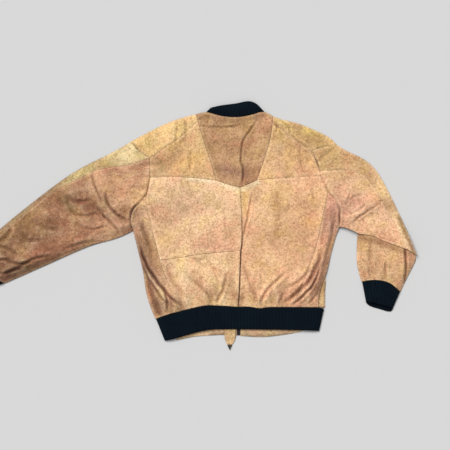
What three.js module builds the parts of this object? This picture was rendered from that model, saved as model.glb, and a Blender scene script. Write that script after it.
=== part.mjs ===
// A blouson of worn suede leather with knitted collar, cuffs and hem, laid out back side up.
// Left and right are the wearer's. X runs to the right arm, Y to the collar, Z up from the surface.
import * as THREE from "three";

// Driving dimensions in millimetres.
const CHEST_WIDTH = 596; // underarm to underarm across the laid back
const BACK_LENGTH = 549; // neck seam to hem rib at the centre
const LEATHER = 2; // wall of a leather panel
const RIB = 3; // wall of the doubled knit
const SEAM_GAP = 0.3; // clear space between two pieces at a seam
const LAY = 8; // top of the upper layer where it lies on the lower one
const RIB_LAY = 9; // top of the knit at the seam that holds it
const RIB_EDGE = 8; // top of the knit at its free edge
const COLLAR_PUFF = 5; // rise of the collar between its two edges
const ROLL = 14; // width over which the upper layer rolls down to the surface
const UNDER_INSET = 14; // how far the lower layer stays inside the folded edge
const TUCK_EDGE = 10.9; // top of the upper arm where it ends over the forearm
const TUCK_RISE = 2.6; // further rise of the roll just behind that edge
const TUCK_REACH = 65; // length of arm that climbs to the tuck
const FRONT_SHOW_LIFT = 2.8; // lift of the back where the right front shows beside it
const FRONT_SHOW_FULL = -135; // below this place across the back the lift is full
const FRONT_SHOW_NONE = -100; // above this place there is none
const ZIP_LEFT = -9; // front edge of the left front, seen through the back
const ZIP_RIGHT = 1; // front edge of the right front
const ZIP_TOP = 276; // upper end of the chain, where the slider sits
const SLIDER_LENGTH = 13;
const SLIDER_WIDTH = 8;
const SLIDER_HEIGHT = 5;
const PULL_LENGTH = 28;
const PULL_HEIGHT = 1.6;
const TIP_WALL = 3; // metal tip of the hem tab
const STRIP_FADE = 5; // a long strip follows its ends only close to them
const HEM_TURN = 3; // grid columns of the hem rib that turn under at each end
const TAB_BAND_EDGE = -323; // place across the band where the hem tab leaves it
const TAB_DOWN = -334; // place where the tab has come down to the surface

// Cut for which the places below are given.
const CUT_CHEST = 596;
const CUT_LENGTH = 549;

// Roughness of the surfaces, and how metallic the fittings are.
const SUEDE_ROUGH = 0.85;
const KNIT_ROUGH = 0.95;
const METAL_ROUGH = 0.4;
const METALLIC = 1;

const COLOURS = {
  tan: 0xcaa377,
  rose: 0xb98c6d,
  yellow: 0xc9a562,
  brown: 0xa5794f,
  knit: 0x10161f,
  tape: 0x1b1a1c,
  metal: 0x3a3430,
};

const at = ([x, y]) => new THREE.Vector2(x * CHEST_WIDTH / CUT_CHEST, y * BACK_LENGTH / CUT_LENGTH);

// A seam or edge: evenly spaced points on a smooth line through a few places.
function seam(segments, ...places) {
  return new THREE.SplineCurve(places.map(at)).getSpacedPoints(segments);
}

const back = (line) => [...line].reverse();

// Lines that follow each other, without the doubled point where they meet.
function chain(...lines) {
  return lines.reduce((whole, line) => [...whole, ...line.slice(1)]);
}

// The same line moved to its left by a distance.
function moved(line, distance) {
  return line.map((point, i) => {
    const before = line[Math.max(i - 1, 0)];
    const after = line[Math.min(i + 1, line.length - 1)];
    const along = after.clone().sub(before).normalize();
    return new THREE.Vector2(point.x - along.y * distance, point.y + along.x * distance);
  });
}

// Places where three or more pieces meet.
const NECK_LEFT = [-99, 329];
const NECK_RIGHT = [71, 331];
const COLLAR_LEFT = [-87, 340];
const COLLAR_RIGHT = [59, 342];
const YOKE_TOP_LEFT = [-128, 321];
const YOKE_TOP_RIGHT = [96, 315];
const SADDLE_NECK_LEFT = [-122, 300];
const SADDLE_NECK_RIGHT = [94, 293];
const SADDLE_ARM_LEFT = [-262, 194];
const SADDLE_ARM_RIGHT = [206, 213];
const SHOULDER_LEFT = [-316, 242];
const SHOULDER_RIGHT = [281, 232];
const YOKE_ARM_LEFT = [-260, 138];
const YOKE_ARM_RIGHT = [233, 142];
const YOKE_LOW_LEFT = [-70, 129];
const YOKE_LOW_RIGHT = [49, 129];
const YOKE_POINT = [0, 108];
const SLEEVE_SEAM_RIGHT = [231, 157];
const SIDE_ARM_LEFT = [-273, 72];
const SIDE_ARM_RIGHT = [255, 96];
const UNDERARM_LEFT = [-310, -17];
const UNDERARM_RIGHT = [286, -6];
const UNDER_TURN_LEFT = [-315, 32];
const UNDER_TURN_RIGHT = [289, 34];
const PATCH_SIDE = [-231, -103];
const PATCH_CENTRE = [1, -75];
const HEM_SIDE_LEFT = [-174, -250];
const HEM_CENTRE = [-6, -237];
const HEM_SIDE_RIGHT = [151, -238];
const HEM_END_LEFT = [-245, -273];
const HEM_EDGE_RIGHT = [228, -239];
const HEM_END_RIGHT = [245, -242];
const RIB_LOW_LEFT = [-220, -336];
const RIB_LOW_RIGHT = [231, -307];
const CUFF_LOW_LEFT = [-683, -170];
const CUFF_SEAM_LEFT = [-738, -73];
const CUFF_TOP_LEFT = [-744, -62];
const MOUTH_LOW_LEFT = [-748, -191];
const MOUTH_TOP_LEFT = [-798, -112];
const ELBOW = [513, -90];
const TUCK_SEAM = [487, -72];
const TUCK_INNER = [345, -26];
const CUFF_INNER_RIGHT = [352, -165];
const CUFF_OUTER_RIGHT = [465, -194];
const MOUTH_INNER_RIGHT = [363, -222];
const MOUTH_OUTER_RIGHT = [444, -242];
const FOREARM_TOP_INNER = [344, -9];
const FOREARM_TOP_OUTER = [470, -52];

// Seams of the neck, shoulders and yoke.
const neckSeam = seam(8, NECK_LEFT, [-72, 320], [-44, 314], [-9, 312], [29, 318], NECK_RIGHT);
const neckBitLeft = seam(1, YOKE_TOP_LEFT, NECK_LEFT);
const neckBitRight = seam(1, NECK_RIGHT, YOKE_TOP_RIGHT);
const yokeSideLeft = seam(6, YOKE_LOW_LEFT, [-83, 179], [-101, 229], SADDLE_NECK_LEFT);
const yokeSideRight = seam(6, YOKE_LOW_RIGHT, [70, 188], [88, 249], SADDLE_NECK_RIGHT);
const saddleEndLeft = seam(4, SADDLE_NECK_LEFT, YOKE_TOP_LEFT);
const saddleEndRight = seam(4, SADDLE_NECK_RIGHT, YOKE_TOP_RIGHT);
const yokePointLeft = seam(5, YOKE_LOW_LEFT, [-35, 117], YOKE_POINT);
const yokePointRight = seam(5, YOKE_POINT, [23, 117], YOKE_LOW_RIGHT);
const yokeSeamLeft = seam(7, YOKE_ARM_LEFT, [-188, 139], [-116, 135], YOKE_LOW_LEFT);
const yokeSeamRight = seam(7, YOKE_LOW_RIGHT, [93, 134], [162, 138], YOKE_ARM_RIGHT);
const saddleLeft = seam(7, SADDLE_ARM_LEFT, [-244, 204], [-216, 226], [-180, 248], SADDLE_NECK_LEFT);
const saddleRight = seam(7, SADDLE_NECK_RIGHT, [119, 278], [144, 258], SADDLE_ARM_RIGHT);
const shoulderLeft = seam(7, SHOULDER_LEFT, [-232, 286], [-180, 307], YOKE_TOP_LEFT);
const shoulderRight = seam(7, YOKE_TOP_RIGHT, [125, 304], [174, 293], [264, 252], SHOULDER_RIGHT);

// Armholes, from the shoulder down to the underarm.
const armTopLeft = seam(4, SADDLE_ARM_LEFT, [-293, 215], SHOULDER_LEFT);
const armTopRight = seam(4, SADDLE_ARM_RIGHT, [238, 226], SHOULDER_RIGHT);
const armYokeLeft = seam(6, YOKE_ARM_LEFT, SADDLE_ARM_LEFT);
const armYokeRight = seam(2, YOKE_ARM_RIGHT, SLEEVE_SEAM_RIGHT);
const armCapRight = seam(4, SLEEVE_SEAM_RIGHT, [220, 188], SADDLE_ARM_RIGHT);
const armBackLeft = seam(3, SIDE_ARM_LEFT, [-267, 102], YOKE_ARM_LEFT);
const armBackRight = seam(3, SIDE_ARM_RIGHT, [244, 122], YOKE_ARM_RIGHT);
const underarmLowLeft = seam(2, UNDERARM_LEFT, [-317, 8], UNDER_TURN_LEFT);
const underarmHighLeft = seam(4, UNDER_TURN_LEFT, [-304, 54], SIDE_ARM_LEFT);
const underarmLowRight = seam(2, UNDERARM_RIGHT, [289, 14], UNDER_TURN_RIGHT);
const underarmHighRight = seam(4, SIDE_ARM_RIGHT, [273, 78], [284, 61], UNDER_TURN_RIGHT);

// Seams of the back and the sides.
const sideSeamLowLeft = seam(7, HEM_SIDE_LEFT, [-194, -200], [-218, -142], PATCH_SIDE);
const sideSeamHighLeft = seam(6, PATCH_SIDE, [-246, -44], [-261, 17], SIDE_ARM_LEFT);
const sideSeamRight = seam(13, HEM_SIDE_RIGHT, [168, -200], [217, -75], [242, 32], SIDE_ARM_RIGHT);
const patchSeam = seam(12, PATCH_SIDE, [-165, -94], [-102, -84], PATCH_CENTRE);
const centreHigh = seam(9, PATCH_CENTRE, [5, -44], [4, 29], YOKE_POINT);
const centreLow = seam(7, HEM_CENTRE, [-3, -174], [-1, -125], PATCH_CENTRE);
const hemSideLeft = seam(4, HEM_END_LEFT, [-212, -260], HEM_SIDE_LEFT);
const hemLeft = seam(12, HEM_SIDE_LEFT, [-107, -234], [-72, -233], HEM_CENTRE);
const hemRight = seam(12, HEM_CENTRE, [29, -237], [58, -242], [81, -238], HEM_SIDE_RIGHT);
const hemSideRight = seam(4, HEM_SIDE_RIGHT, [191, -238], HEM_EDGE_RIGHT);
const hemEndRight = seam(1, HEM_EDGE_RIGHT, HEM_END_RIGHT);

// Folded edges of the body and the sleeves, and the seams along the sleeves.
const sideLeft = seam(11, HEM_END_LEFT, [-261, -235], [-274, -188], [-281, -136], UNDERARM_LEFT);
const sideRight = seam(11, HEM_EDGE_RIGHT, [230, -200], [254, -128], [264, -84], UNDERARM_RIGHT);
const armEdgeLeft = seam(
  16, CUFF_TOP_LEFT, [-719, -32], [-626, 46], [-487, 150], [-371, 210], SHOULDER_LEFT);
const armSeamLeft = seam(
  16, CUFF_SEAM_LEFT, [-713, -41], [-619, 37], [-532, 103], [-470, 132],
  [-429, 154], [-377, 170], [-336, 169], SADDLE_ARM_LEFT);
const underSleeveLeft = seam(
  16, CUFF_LOW_LEFT, [-568, -119], [-438, -62], [-357, -39], UNDERARM_LEFT);
const armEdgeRight = seam(
  11, SHOULDER_RIGHT, [294, 218], [331, 206], [371, 184], [403, 148], [464, 28], ELBOW);
const armSeamRight = seam(11, SLEEVE_SEAM_RIGHT, [328, 158], [365, 139], [403, 84], TUCK_SEAM);
const underSleeveRight = seam(11, UNDERARM_RIGHT, [304, -8], [326, -16], TUCK_INNER);
const tuck = seam(11, TUCK_INNER, [383, -31], [415, -46], TUCK_SEAM);
const tuckEnd = seam(8, TUCK_SEAM, ELBOW);
const forearmInner = seam(11, CUFF_INNER_RIGHT, [339, -113], [339, -44], FOREARM_TOP_INNER);
const forearmOuter = seam(
  11, CUFF_OUTER_RIGHT, [478, -165], [503, -116], [512, -95], [499, -75], FOREARM_TOP_OUTER);
const forearmTop = seam(9, FOREARM_TOP_INNER, [383, -10], [429, -26], FOREARM_TOP_OUTER);

// Edges of the knitted pieces, upper layer first, then what turns under.
const collarTop = seam(8, COLLAR_LEFT, [-44, 349], [-17, 351], [23, 360], [41, 357], COLLAR_RIGHT);
const collarFoldLeft = seam(4, NECK_LEFT, COLLAR_LEFT);
const collarFoldRight = seam(4, NECK_RIGHT, COLLAR_RIGHT);
const collarNeckLeft = seam(6, NECK_LEFT, [-84, 288], [-48, 256], [ZIP_LEFT, 246]);
const collarNeckRight = seam(6, NECK_RIGHT, [62, 290], [34, 258], [ZIP_RIGHT, 246]);
const collarEdgeLeft = seam(6, COLLAR_LEFT, [-62, 312], [-38, 296], [ZIP_LEFT, 290]);
const collarEdgeRight = seam(6, COLLAR_RIGHT, [40, 314], [22, 297], [ZIP_RIGHT, 290]);
const hemSeam = chain(hemSideLeft, hemLeft, hemRight, hemSideRight, hemEndRight);
const hemEdge = seam(
  33, RIB_LOW_LEFT, [-186, -329], [-139, -315], [-90, -304], [-29, -302], [136, -304], RIB_LOW_RIGHT);
const hemFoldLeft = seam(3, RIB_LOW_LEFT, HEM_END_LEFT);
const hemFoldRight = seam(3, RIB_LOW_RIGHT, HEM_END_RIGHT);
const cuffSeamLeft = seam(15, CUFF_LOW_LEFT, [-702, -157], [-722, -130], CUFF_SEAM_LEFT);
const cuffBitLeft = seam(4, CUFF_SEAM_LEFT, CUFF_TOP_LEFT);
const cuffJoinLeft = back(chain(cuffSeamLeft, cuffBitLeft));
const cuffMouthLeft = seam(19, MOUTH_TOP_LEFT, [-774, -154], MOUTH_LOW_LEFT);
const cuffUnderLeft = seam(19, MOUTH_TOP_LEFT, [-782, -160], MOUTH_LOW_LEFT);
const cuffFoldTopLeft = seam(3, MOUTH_TOP_LEFT, CUFF_TOP_LEFT);
const cuffFoldLowLeft = seam(3, MOUTH_LOW_LEFT, CUFF_LOW_LEFT);
const cuffSeamRight = seam(9, CUFF_INNER_RIGHT, [374, -160], [403, -160], [434, -168], CUFF_OUTER_RIGHT);
const cuffMouthRight = seam(9, MOUTH_INNER_RIGHT, [400, -229], MOUTH_OUTER_RIGHT);
const cuffUnderRight = seam(9, MOUTH_INNER_RIGHT, [374, -234], [406, -244], [436, -252], MOUTH_OUTER_RIGHT);
const cuffFoldInnerRight = seam(3, MOUTH_INNER_RIGHT, CUFF_INNER_RIGHT);
const cuffFoldOuterRight = seam(3, MOUTH_OUTER_RIGHT, CUFF_OUTER_RIGHT);

// The largest folds, each a soft ridge along a line.
const FOLDS = [
  { rise: 12, width: 14, line: seam(8, [-304, 6], [-284, -62], [-252, -124], [-212, -190], [-186, -232]) },
  { rise: 8, width: 12, line: seam(6, [-272, -130], [-248, -180], [-222, -222], [-205, -252]) },
  { rise: 11, width: 14, line: seam(8, [262, 46], [250, -40], [232, -112], [206, -172], [172, -222]) },
  { rise: 7, width: 11, line: seam(6, [236, -150], [216, -190], [196, -226]) },
  { rise: 8, width: 14, line: seam(6, [128, -140], [98, -182], [72, -222]) },
  { rise: 10, width: 15, line: seam(6, [-322, 8], [-356, 36], [-384, 74], [-396, 118]) },
  { rise: 8, width: 14, line: seam(6, [-330, -10], [-384, 14], [-414, 38]) },
  { rise: 9, width: 26, line: seam(6, [-640, -96], [-520, -58], [-440, -20]) },
  { rise: 10, width: 16, line: seam(6, [300, 8], [352, 40], [402, 84]) },
  { rise: 8, width: 15, line: seam(6, [292, 40], [318, 92], [340, 128]) },
  { rise: 4, width: 10, line: seam(8, [-12, -232], [-10, -150], [-9, -80], [-6, 20]) },
  { rise: 6, width: 13, line: seam(4, [-108, -178], [-76, -222]) },
  { rise: 6, width: 13, line: seam(4, [36, -176], [50, -224]) },
  { rise: 6, width: 18, line: seam(6, [-196, 298], [-190, 240], [-206, 186]) },
];
const FOREARM_FOLDS = [
  { rise: 4, width: 12, line: seam(6, [482, -80], [480, -130], [462, -170]) },
  { rise: 4, width: 12, line: seam(4, [402, -60], [398, -142]) },
];

function distanceTo(point, line) {
  let nearest = Infinity;
  for (let i = 1; i < line.length; i += 1) {
    const along = line[i].clone().sub(line[i - 1]);
    const share = point.clone().sub(line[i - 1]).dot(along) / along.lengthSq();
    const foot = line[i - 1].clone().addScaledVector(along, THREE.MathUtils.clamp(share, 0, 1));
    nearest = Math.min(nearest, foot.distanceTo(point));
  }
  return nearest;
}

const nearestOf = (point, lines) => Math.min(...lines.map((line) => distanceTo(point, line)));

// Quarter wave from 0 at a folded edge to 1 where the layer lies flat.
const rolled = (distance) => Math.sin(Math.PI / 2 * Math.min(1, distance / ROLL));

function foldHeight(point, folds) {
  return folds.reduce((sum, fold) => {
    const away = distanceTo(point, fold.line) / fold.width;
    return sum + fold.rise * Math.exp(-away * away);
  }, 0);
}

const FOLDED_EDGES = [
  shoulderLeft, shoulderRight, sideLeft, sideRight,
  armEdgeLeft, armEdgeRight, underSleeveLeft, underSleeveRight,
];
const TUCK_LINE = chain(tuck, tuckEnd);

// Height of the top of the back, the shoulders and the upper arms.
function backHeight(point) {
  const edge = rolled(nearestOf(point, FOLDED_EDGES));
  const above = THREE.MathUtils.smoothstep(point.y, FRONT_SHOW_FULL, FRONT_SHOW_NONE);
  const floor = LEATHER + (point.x > HEM_SIDE_RIGHT[0] ? FRONT_SHOW_LIFT * (1 - above) : 0);
  const laid = floor + (LAY - floor) * edge + foldHeight(point, FOLDS) * edge;
  const fromTuck = distanceTo(point, TUCK_LINE);
  const climb = THREE.MathUtils.smoothstep(fromTuck, TUCK_REACH / 3, TUCK_REACH);
  const overForearm = TUCK_EDGE + TUCK_RISE * rolled(fromTuck) - (TUCK_EDGE + TUCK_RISE - LAY) * climb;
  return fromTuck < TUCK_REACH ? Math.max(laid, overForearm) : laid;
}

// Height of the top of the forearm, which runs in under the upper arm.
function forearmHeight(point) {
  const edge = rolled(nearestOf(point, [forearmInner, forearmOuter]));
  const free = THREE.MathUtils.smoothstep(distanceTo(point, TUCK_LINE), 0, TUCK_REACH / 2);
  return LEATHER + (LAY - LEATHER) * edge + foldHeight(point, FOREARM_FOLDS) * edge * free;
}

const ribHeight = (point, share) => THREE.MathUtils.lerp(RIB_EDGE, RIB_LAY, share);

const collarHeight = (point, share) => RIB_LAY + COLLAR_PUFF * Math.sin(Math.PI * share);

// The hem tab lies on the front band and comes down to the surface beyond it.
function tabHeight(point) {
  const onBand = THREE.MathUtils.smoothstep(point.y, TAB_DOWN, TAB_BAND_EDGE);
  return LEATHER + (LEATHER + SEAM_GAP) * onBand;
}

// Grid of plan points between four lines that share their corners. The shape of the west and east
// lines fades towards the middle, faster with a higher power.
function patch(south, north, west, east, power = 1) {
  const columns = south.length - 1;
  const rows = west.length - 1;
  return west.map((westPoint, j) => south.map((southPoint, i) => {
    const u = i / columns;
    const v = j / rows;
    const bend = (end, first, last) => end.clone().sub(first.clone().lerp(last, v));
    const point = southPoint.clone().lerp(north[i], v);
    point.addScaledVector(bend(westPoint, south[0], north[0]), (1 - u) ** power);
    return point.addScaledVector(bend(east[j], south[columns], north[columns]), u ** power);
  }));
}

// Moves the rim of a grid inwards by half the seam gap.
function openSeams(grid) {
  const rows = grid.length - 1;
  const columns = grid[0].length - 1;
  const rim = [
    ...grid[0].slice(0, columns),
    ...grid.slice(0, rows).map((row) => row[columns]),
    ...back(grid[rows].slice(1)),
    ...back(grid.slice(1).map((row) => row[0])),
  ];
  const inward = rim.map((point, i) => {
    const before = point.clone().sub(rim.at(i - 1)).normalize();
    const after = rim[(i + 1) % rim.length].clone().sub(point).normalize();
    const sum = new THREE.Vector2(-before.y - after.y, before.x + after.x);
    return sum.multiplyScalar(SEAM_GAP / 2 / Math.max(1 + before.dot(after), SEAM_GAP));
  });
  rim.forEach((point, i) => point.add(inward[i]));
  return grid;
}

// Closed wall between an outer grid and an inner grid of the same size.
function wall(outer, inner) {
  const rows = outer.length;
  const columns = outer[0].length;
  const count = rows * columns;
  const faces = [];
  const quad = (a, b, c, d) => faces.push(a, b, c, a, c, d);
  for (let j = 0; j + 1 < rows; j += 1) {
    for (let i = 0; i + 1 < columns; i += 1) {
      const corner = j * columns + i;
      const ring = [corner, corner + 1, corner + columns + 1, corner + columns];
      quad(...ring);
      quad(...back(ring).map((index) => index + count));
    }
  }
  const rim = (a, b) => quad(a + count, b + count, b, a);
  for (let i = 0; i + 1 < columns; i += 1) {
    const top = (rows - 1) * columns + i;
    rim(i, i + 1);
    rim(top + 1, top);
  }
  for (let j = 0; j + 1 < rows; j += 1) {
    rim((j + 1) * columns, j * columns);
    rim(j * columns + columns - 1, (j + 2) * columns - 1);
  }
  const geometry = new THREE.BufferGeometry().setFromPoints([...outer.flat(), ...inner.flat()]);
  geometry.setIndex(faces);
  geometry.computeVertexNormals();
  return geometry;
}

const raised = (point, z) => new THREE.Vector3(point.x, point.y, z);

// Single layer of cloth whose top follows a height over its plan.
function layer(grid, height, thickness) {
  const share = (j) => j / (grid.length - 1);
  const lift = (point, j, drop) => raised(point, height(point, share(j)) - drop);
  const skin = (drop) => grid.map((row, j) => row.map((point) => lift(point, j, drop)));
  return wall(skin(0), skin(thickness));
}

// Knitted band: an upper layer folded round at both ends, with the turned parts on the surface.
function wrapped(upper, turnLeft, turnRight, height) {
  const skin = (depth) => upper.map((row, j) => {
    const last = row.length - 1;
    const lift = (point) => height(point, j / (upper.length - 1));
    const fold = (edge, inside) => {
      const step = inside.clone().sub(edge).setLength(depth);
      return raised(edge.clone().add(step), lift(edge) / 2);
    };
    return [
      ...back(turnLeft[j].slice(1)).map((point) => raised(point, depth)),
      fold(row[0], row[1]),
      ...row.slice(1, last).map((point) => raised(point, lift(point) - depth)),
      fold(row[last], row[last - 1]),
      ...turnRight[j].slice(1).map((point) => raised(point, depth)),
    ];
  });
  return wall(skin(0), skin(RIB));
}

// Flat sheet of one thickness inside an outline, resting on the surface.
function sheet(outline, thickness) {
  return new THREE.ExtrudeGeometry(new THREE.Shape(outline), { depth: thickness, bevelEnabled: false });
}

const jacket = new THREE.Group();

function add(name, colour, geometry, roughness = SUEDE_ROUGH, metalness = 0) {
  const material = new THREE.MeshStandardMaterial({ color: COLOURS[colour], roughness, metalness });
  const mesh = new THREE.Mesh(geometry, material);
  mesh.name = name;
  jacket.add(mesh);
}

function panel(name, colour, south, north, west, east, height = backHeight, power = 1) {
  add(name, colour, layer(openSeams(patch(south, north, west, east, power)), height, LEATHER));
}

function addKnit(name, geometry) {
  add(name, "knit", geometry, KNIT_ROUGH);
}

// Upper layer: yoke and shoulders.
panel(
  "yoke_centre", "brown",
  chain(yokePointLeft, yokePointRight), chain(neckBitLeft, neckSeam, neckBitRight),
  chain(yokeSideLeft, saddleEndLeft), chain(yokeSideRight, saddleEndRight));
panel("yoke_left", "tan", yokeSeamLeft, saddleLeft, armYokeLeft, yokeSideLeft);
panel("yoke_right", "tan", yokeSeamRight, saddleRight, yokeSideRight, chain(armYokeRight, armCapRight));
panel("shoulder_left", "yellow", saddleLeft, shoulderLeft, armTopLeft, saddleEndLeft);
panel("shoulder_right", "yellow", saddleRight, shoulderRight, saddleEndRight, armTopRight);

// Upper layer: back and sides.
panel(
  "back_left_upper", "tan",
  patchSeam, chain(yokeSeamLeft, yokePointLeft), chain(sideSeamHighLeft, armBackLeft), centreHigh);
panel("back_left_lower", "tan", hemLeft, patchSeam, sideSeamLowLeft, centreLow);
panel(
  "back_right", "tan",
  hemRight, chain(yokePointRight, yokeSeamRight),
  chain(centreLow, centreHigh), chain(sideSeamRight, armBackRight));
panel(
  "side_left", "rose",
  hemSideLeft, underarmHighLeft,
  chain(sideLeft, underarmLowLeft), chain(sideSeamLowLeft, sideSeamHighLeft));
panel(
  "side_right", "rose",
  hemSideRight, underarmHighRight, sideSeamRight, chain(sideRight, underarmLowRight));

// Upper layer: sleeves.
panel("sleeve_left_top", "yellow", armSeamLeft, armEdgeLeft, cuffBitLeft, armTopLeft);
panel(
  "sleeve_left_back", "rose",
  underSleeveLeft, armSeamLeft,
  cuffSeamLeft, chain(underarmLowLeft, underarmHighLeft, armBackLeft, armYokeLeft));
panel(
  "sleeve_right_top", "yellow",
  armSeamRight, armEdgeRight, chain(armCapRight, armTopRight), tuckEnd, backHeight, STRIP_FADE);
panel(
  "sleeve_right_back", "tan",
  underSleeveRight, armSeamRight,
  chain(underarmLowRight, back(underarmHighRight), armBackRight, armYokeRight), tuck);
panel(
  "forearm_right_back", "tan",
  cuffSeamRight, forearmTop, forearmInner, forearmOuter, forearmHeight);

// Lower layer: fronts, lying on the surface.
const frontHemLeft = chain(hemSideLeft.slice(1), seam(5, HEM_SIDE_LEFT, [-100, -246], [ZIP_LEFT, -246]));
const frontHemRight = chain(
  seam(5, [ZIP_RIGHT, -246], [90, -246], HEM_SIDE_RIGHT), hemSideRight, hemEndRight);
const frontArmLeft = seam(9, [-303, 0], [-284, 70], [-272, 140], [-282, 195], [-303, 229]);
const frontArmRight = seam(9, [279, 8], [266, 70], [246, 130], [242, 185], [266, 224]);
const frontSideRight = chain(
  seam(5, [246, -240], [246.5, -190], [249, -160], [246, -140], [240, -122]),
  seam(5, [240, -122], [250, -84], [262, -38], [272, -4]));
const halfGap = SEAM_GAP / 2;

add("front_left", "yellow", sheet([
  ...moved(frontHemLeft, halfGap),
  ...moved(back(collarNeckLeft), SEAM_GAP).slice(0, -1),
  ...back(moved(shoulderLeft, -UNDER_INSET)).slice(0, -1),
  ...moved(back(frontArmLeft), halfGap),
  ...back(moved(sideLeft, -UNDER_INSET)).slice(0, -1),
], LEATHER));
add("front_right", "yellow", sheet([
  ...moved(frontHemRight, halfGap).slice(0, -1),
  ...frontSideRight,
  ...moved(frontArmRight, halfGap),
  ...back(moved(shoulderRight, -UNDER_INSET)).slice(1),
  ...moved(collarNeckRight, SEAM_GAP).slice(1),
], LEATHER));

// Lower layer: sleeves, lying on the surface.
add("sleeve_left_front", "rose", sheet([
  ...moved(underSleeveLeft, UNDER_INSET).slice(1, -1),
  ...moved(frontArmLeft, halfGap),
  ...back(moved(armEdgeLeft, -UNDER_INSET)).slice(1, -1),
  ...moved(back(cuffSeamLeft), halfGap).slice(3, -3),
], LEATHER));
add("sleeve_right_front", "tan", sheet([
  ...moved(underSleeveRight, UNDER_INSET).slice(2, -3),
  ...moved(forearmTop, UNDER_INSET / 2).slice(1),
  ...back(moved(armEdgeRight, -UNDER_INSET)).slice(3, -1),
  ...back(moved(frontArmRight, -halfGap)),
], LEATHER));
add("forearm_right_front", "tan", sheet([
  ...moved(cuffSeamRight, halfGap).slice(2, -2),
  ...moved(forearmOuter, UNDER_INSET).slice(1, -4),
  ...back(moved(forearmTop, -UNDER_INSET)).slice(1, -2),
  ...back(moved(forearmInner, -UNDER_INSET)).slice(2, -1),
], LEATHER));

// Knitted collar, hem and cuffs.
const collarGrid = openSeams(patch(neckSeam, collarTop, collarFoldLeft, collarFoldRight));
const collarZipLeft = seam(4, [ZIP_LEFT, 246], [ZIP_LEFT, 290]);
const collarZipRight = seam(4, [ZIP_RIGHT, 246], [ZIP_RIGHT, 290]);
const collarTurnLeft = patch(collarNeckLeft, collarEdgeLeft, collarFoldLeft, collarZipLeft);
const collarTurnRight = patch(collarNeckRight, collarEdgeRight, collarFoldRight, collarZipRight);
addKnit("collar", wrapped(collarGrid, collarTurnLeft, collarTurnRight, collarHeight));

const hemGrid = openSeams(patch(hemEdge, hemSeam, hemFoldLeft, hemFoldRight));
const hemTurnLeft = hemGrid.map((row) => row.slice(0, HEM_TURN + 1));
const hemTurnRight = hemGrid.map((row) => back(row.slice(-HEM_TURN - 1)));
addKnit("hem_rib", wrapped(hemGrid, hemTurnLeft, hemTurnRight, ribHeight));

// A cuff is one piece whose two ends meet under it.
function cuff(name, mouth, underMouth, join, foldFirst, foldLast) {
  const upper = openSeams(patch(mouth, join, foldFirst, foldLast));
  const lower = openSeams(patch(underMouth, join, foldFirst, foldLast));
  const half = mouth.length / 2;
  const turned = (row) => {
    const across = row[half].clone().sub(row[half - 1]);
    const end = row[half - 1].clone().add(row[half]).divideScalar(2);
    return [...row.slice(0, half), end.sub(across.setLength(SEAM_GAP / 2))];
  };
  const turnFirst = lower.map(turned);
  const turnLast = lower.map((row) => turned(back(row)));
  addKnit(name, wrapped(upper, turnFirst, turnLast, ribHeight));
}

cuff("cuff_left", cuffMouthLeft, cuffUnderLeft, cuffJoinLeft, cuffFoldTopLeft, cuffFoldLowLeft);
cuff("cuff_right", cuffMouthRight, cuffUnderRight, cuffSeamRight, cuffFoldInnerRight, cuffFoldOuterRight);

// Front waistband of leather, between the turned ends of the hem rib and the zip.
add("hem_band_left", "tan", sheet([
  ...seam(7, [-184, -334], [-139, -324], [-94, -320], [-47, -318], [ZIP_LEFT, -320]),
  ...back(moved(frontHemLeft.slice(HEM_TURN - 1), -halfGap)),
  ...back(moved(hemTurnLeft.map((row) => row[HEM_TURN]), -SEAM_GAP)).slice(1),
], LEATHER));
add("hem_band_right", "tan", sheet([
  ...seam(8, [ZIP_RIGHT, -321], [46, -324], [84, -323], [139, -316], [179, -308]),
  ...moved(hemTurnRight.map((row) => row[HEM_TURN]), SEAM_GAP).slice(1, -1),
  ...back(moved(frontHemRight.slice(0, -HEM_TURN), -halfGap)),
], LEATHER));

// Closed zip with its slider at the collar, and the pull lying beyond it.
const zipLow = at([ZIP_LEFT, -320]).addScalar(SEAM_GAP);
const zipHigh = at([ZIP_RIGHT, ZIP_TOP]).subScalar(SEAM_GAP);
add("zip", "tape", sheet([
  zipLow, new THREE.Vector2(zipHigh.x, zipLow.y), zipHigh, new THREE.Vector2(zipLow.x, zipHigh.y),
], LEATHER));

const sliderEnd = ZIP_TOP + SLIDER_LENGTH;
const pullEnd = sliderEnd + PULL_LENGTH;
const sliderSide = new THREE.Shape([
  new THREE.Vector2(ZIP_TOP, 0),
  new THREE.Vector2(pullEnd, 0),
  new THREE.Vector2(pullEnd, PULL_HEIGHT),
  new THREE.Vector2(sliderEnd, PULL_HEIGHT),
  new THREE.Vector2(sliderEnd, SLIDER_HEIGHT),
  new THREE.Vector2(ZIP_TOP, SLIDER_HEIGHT),
]);
const slider = new THREE.ExtrudeGeometry(sliderSide, { depth: SLIDER_WIDTH, bevelEnabled: false });
const [alongX, alongY, alongZ] = [[1, 0, 0], [0, 1, 0], [0, 0, 1]].map((axis) => new THREE.Vector3(...axis));
slider.applyMatrix4(new THREE.Matrix4().makeBasis(alongY, alongZ, alongX));
slider.translate((ZIP_LEFT + ZIP_RIGHT - SLIDER_WIDTH) / 2, 0, 0);
add("zip_slider", "metal", slider, METAL_ROUGH, METALLIC);

// Tab on the front waistband, with a metal tip.
panel(
  "hem_tab", "tan",
  seam(3, [-36, -347], [-24, -347]), seam(3, [-46, -300], [-12, -300]),
  seam(7, [-36, -347], [-43, -334], [-46, -300]), seam(7, [-24, -347], [-15, -334], [-12, -300]), tabHeight);
const tipSides = [[-37, -347.5], [-33, -356], [-29.5, -363], [-27, -356], [-23, -347.5]];
add("hem_tab_tip", "metal", sheet(tipSides.map(at), TIP_WALL), METAL_ROUGH, METALLIC);

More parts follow.
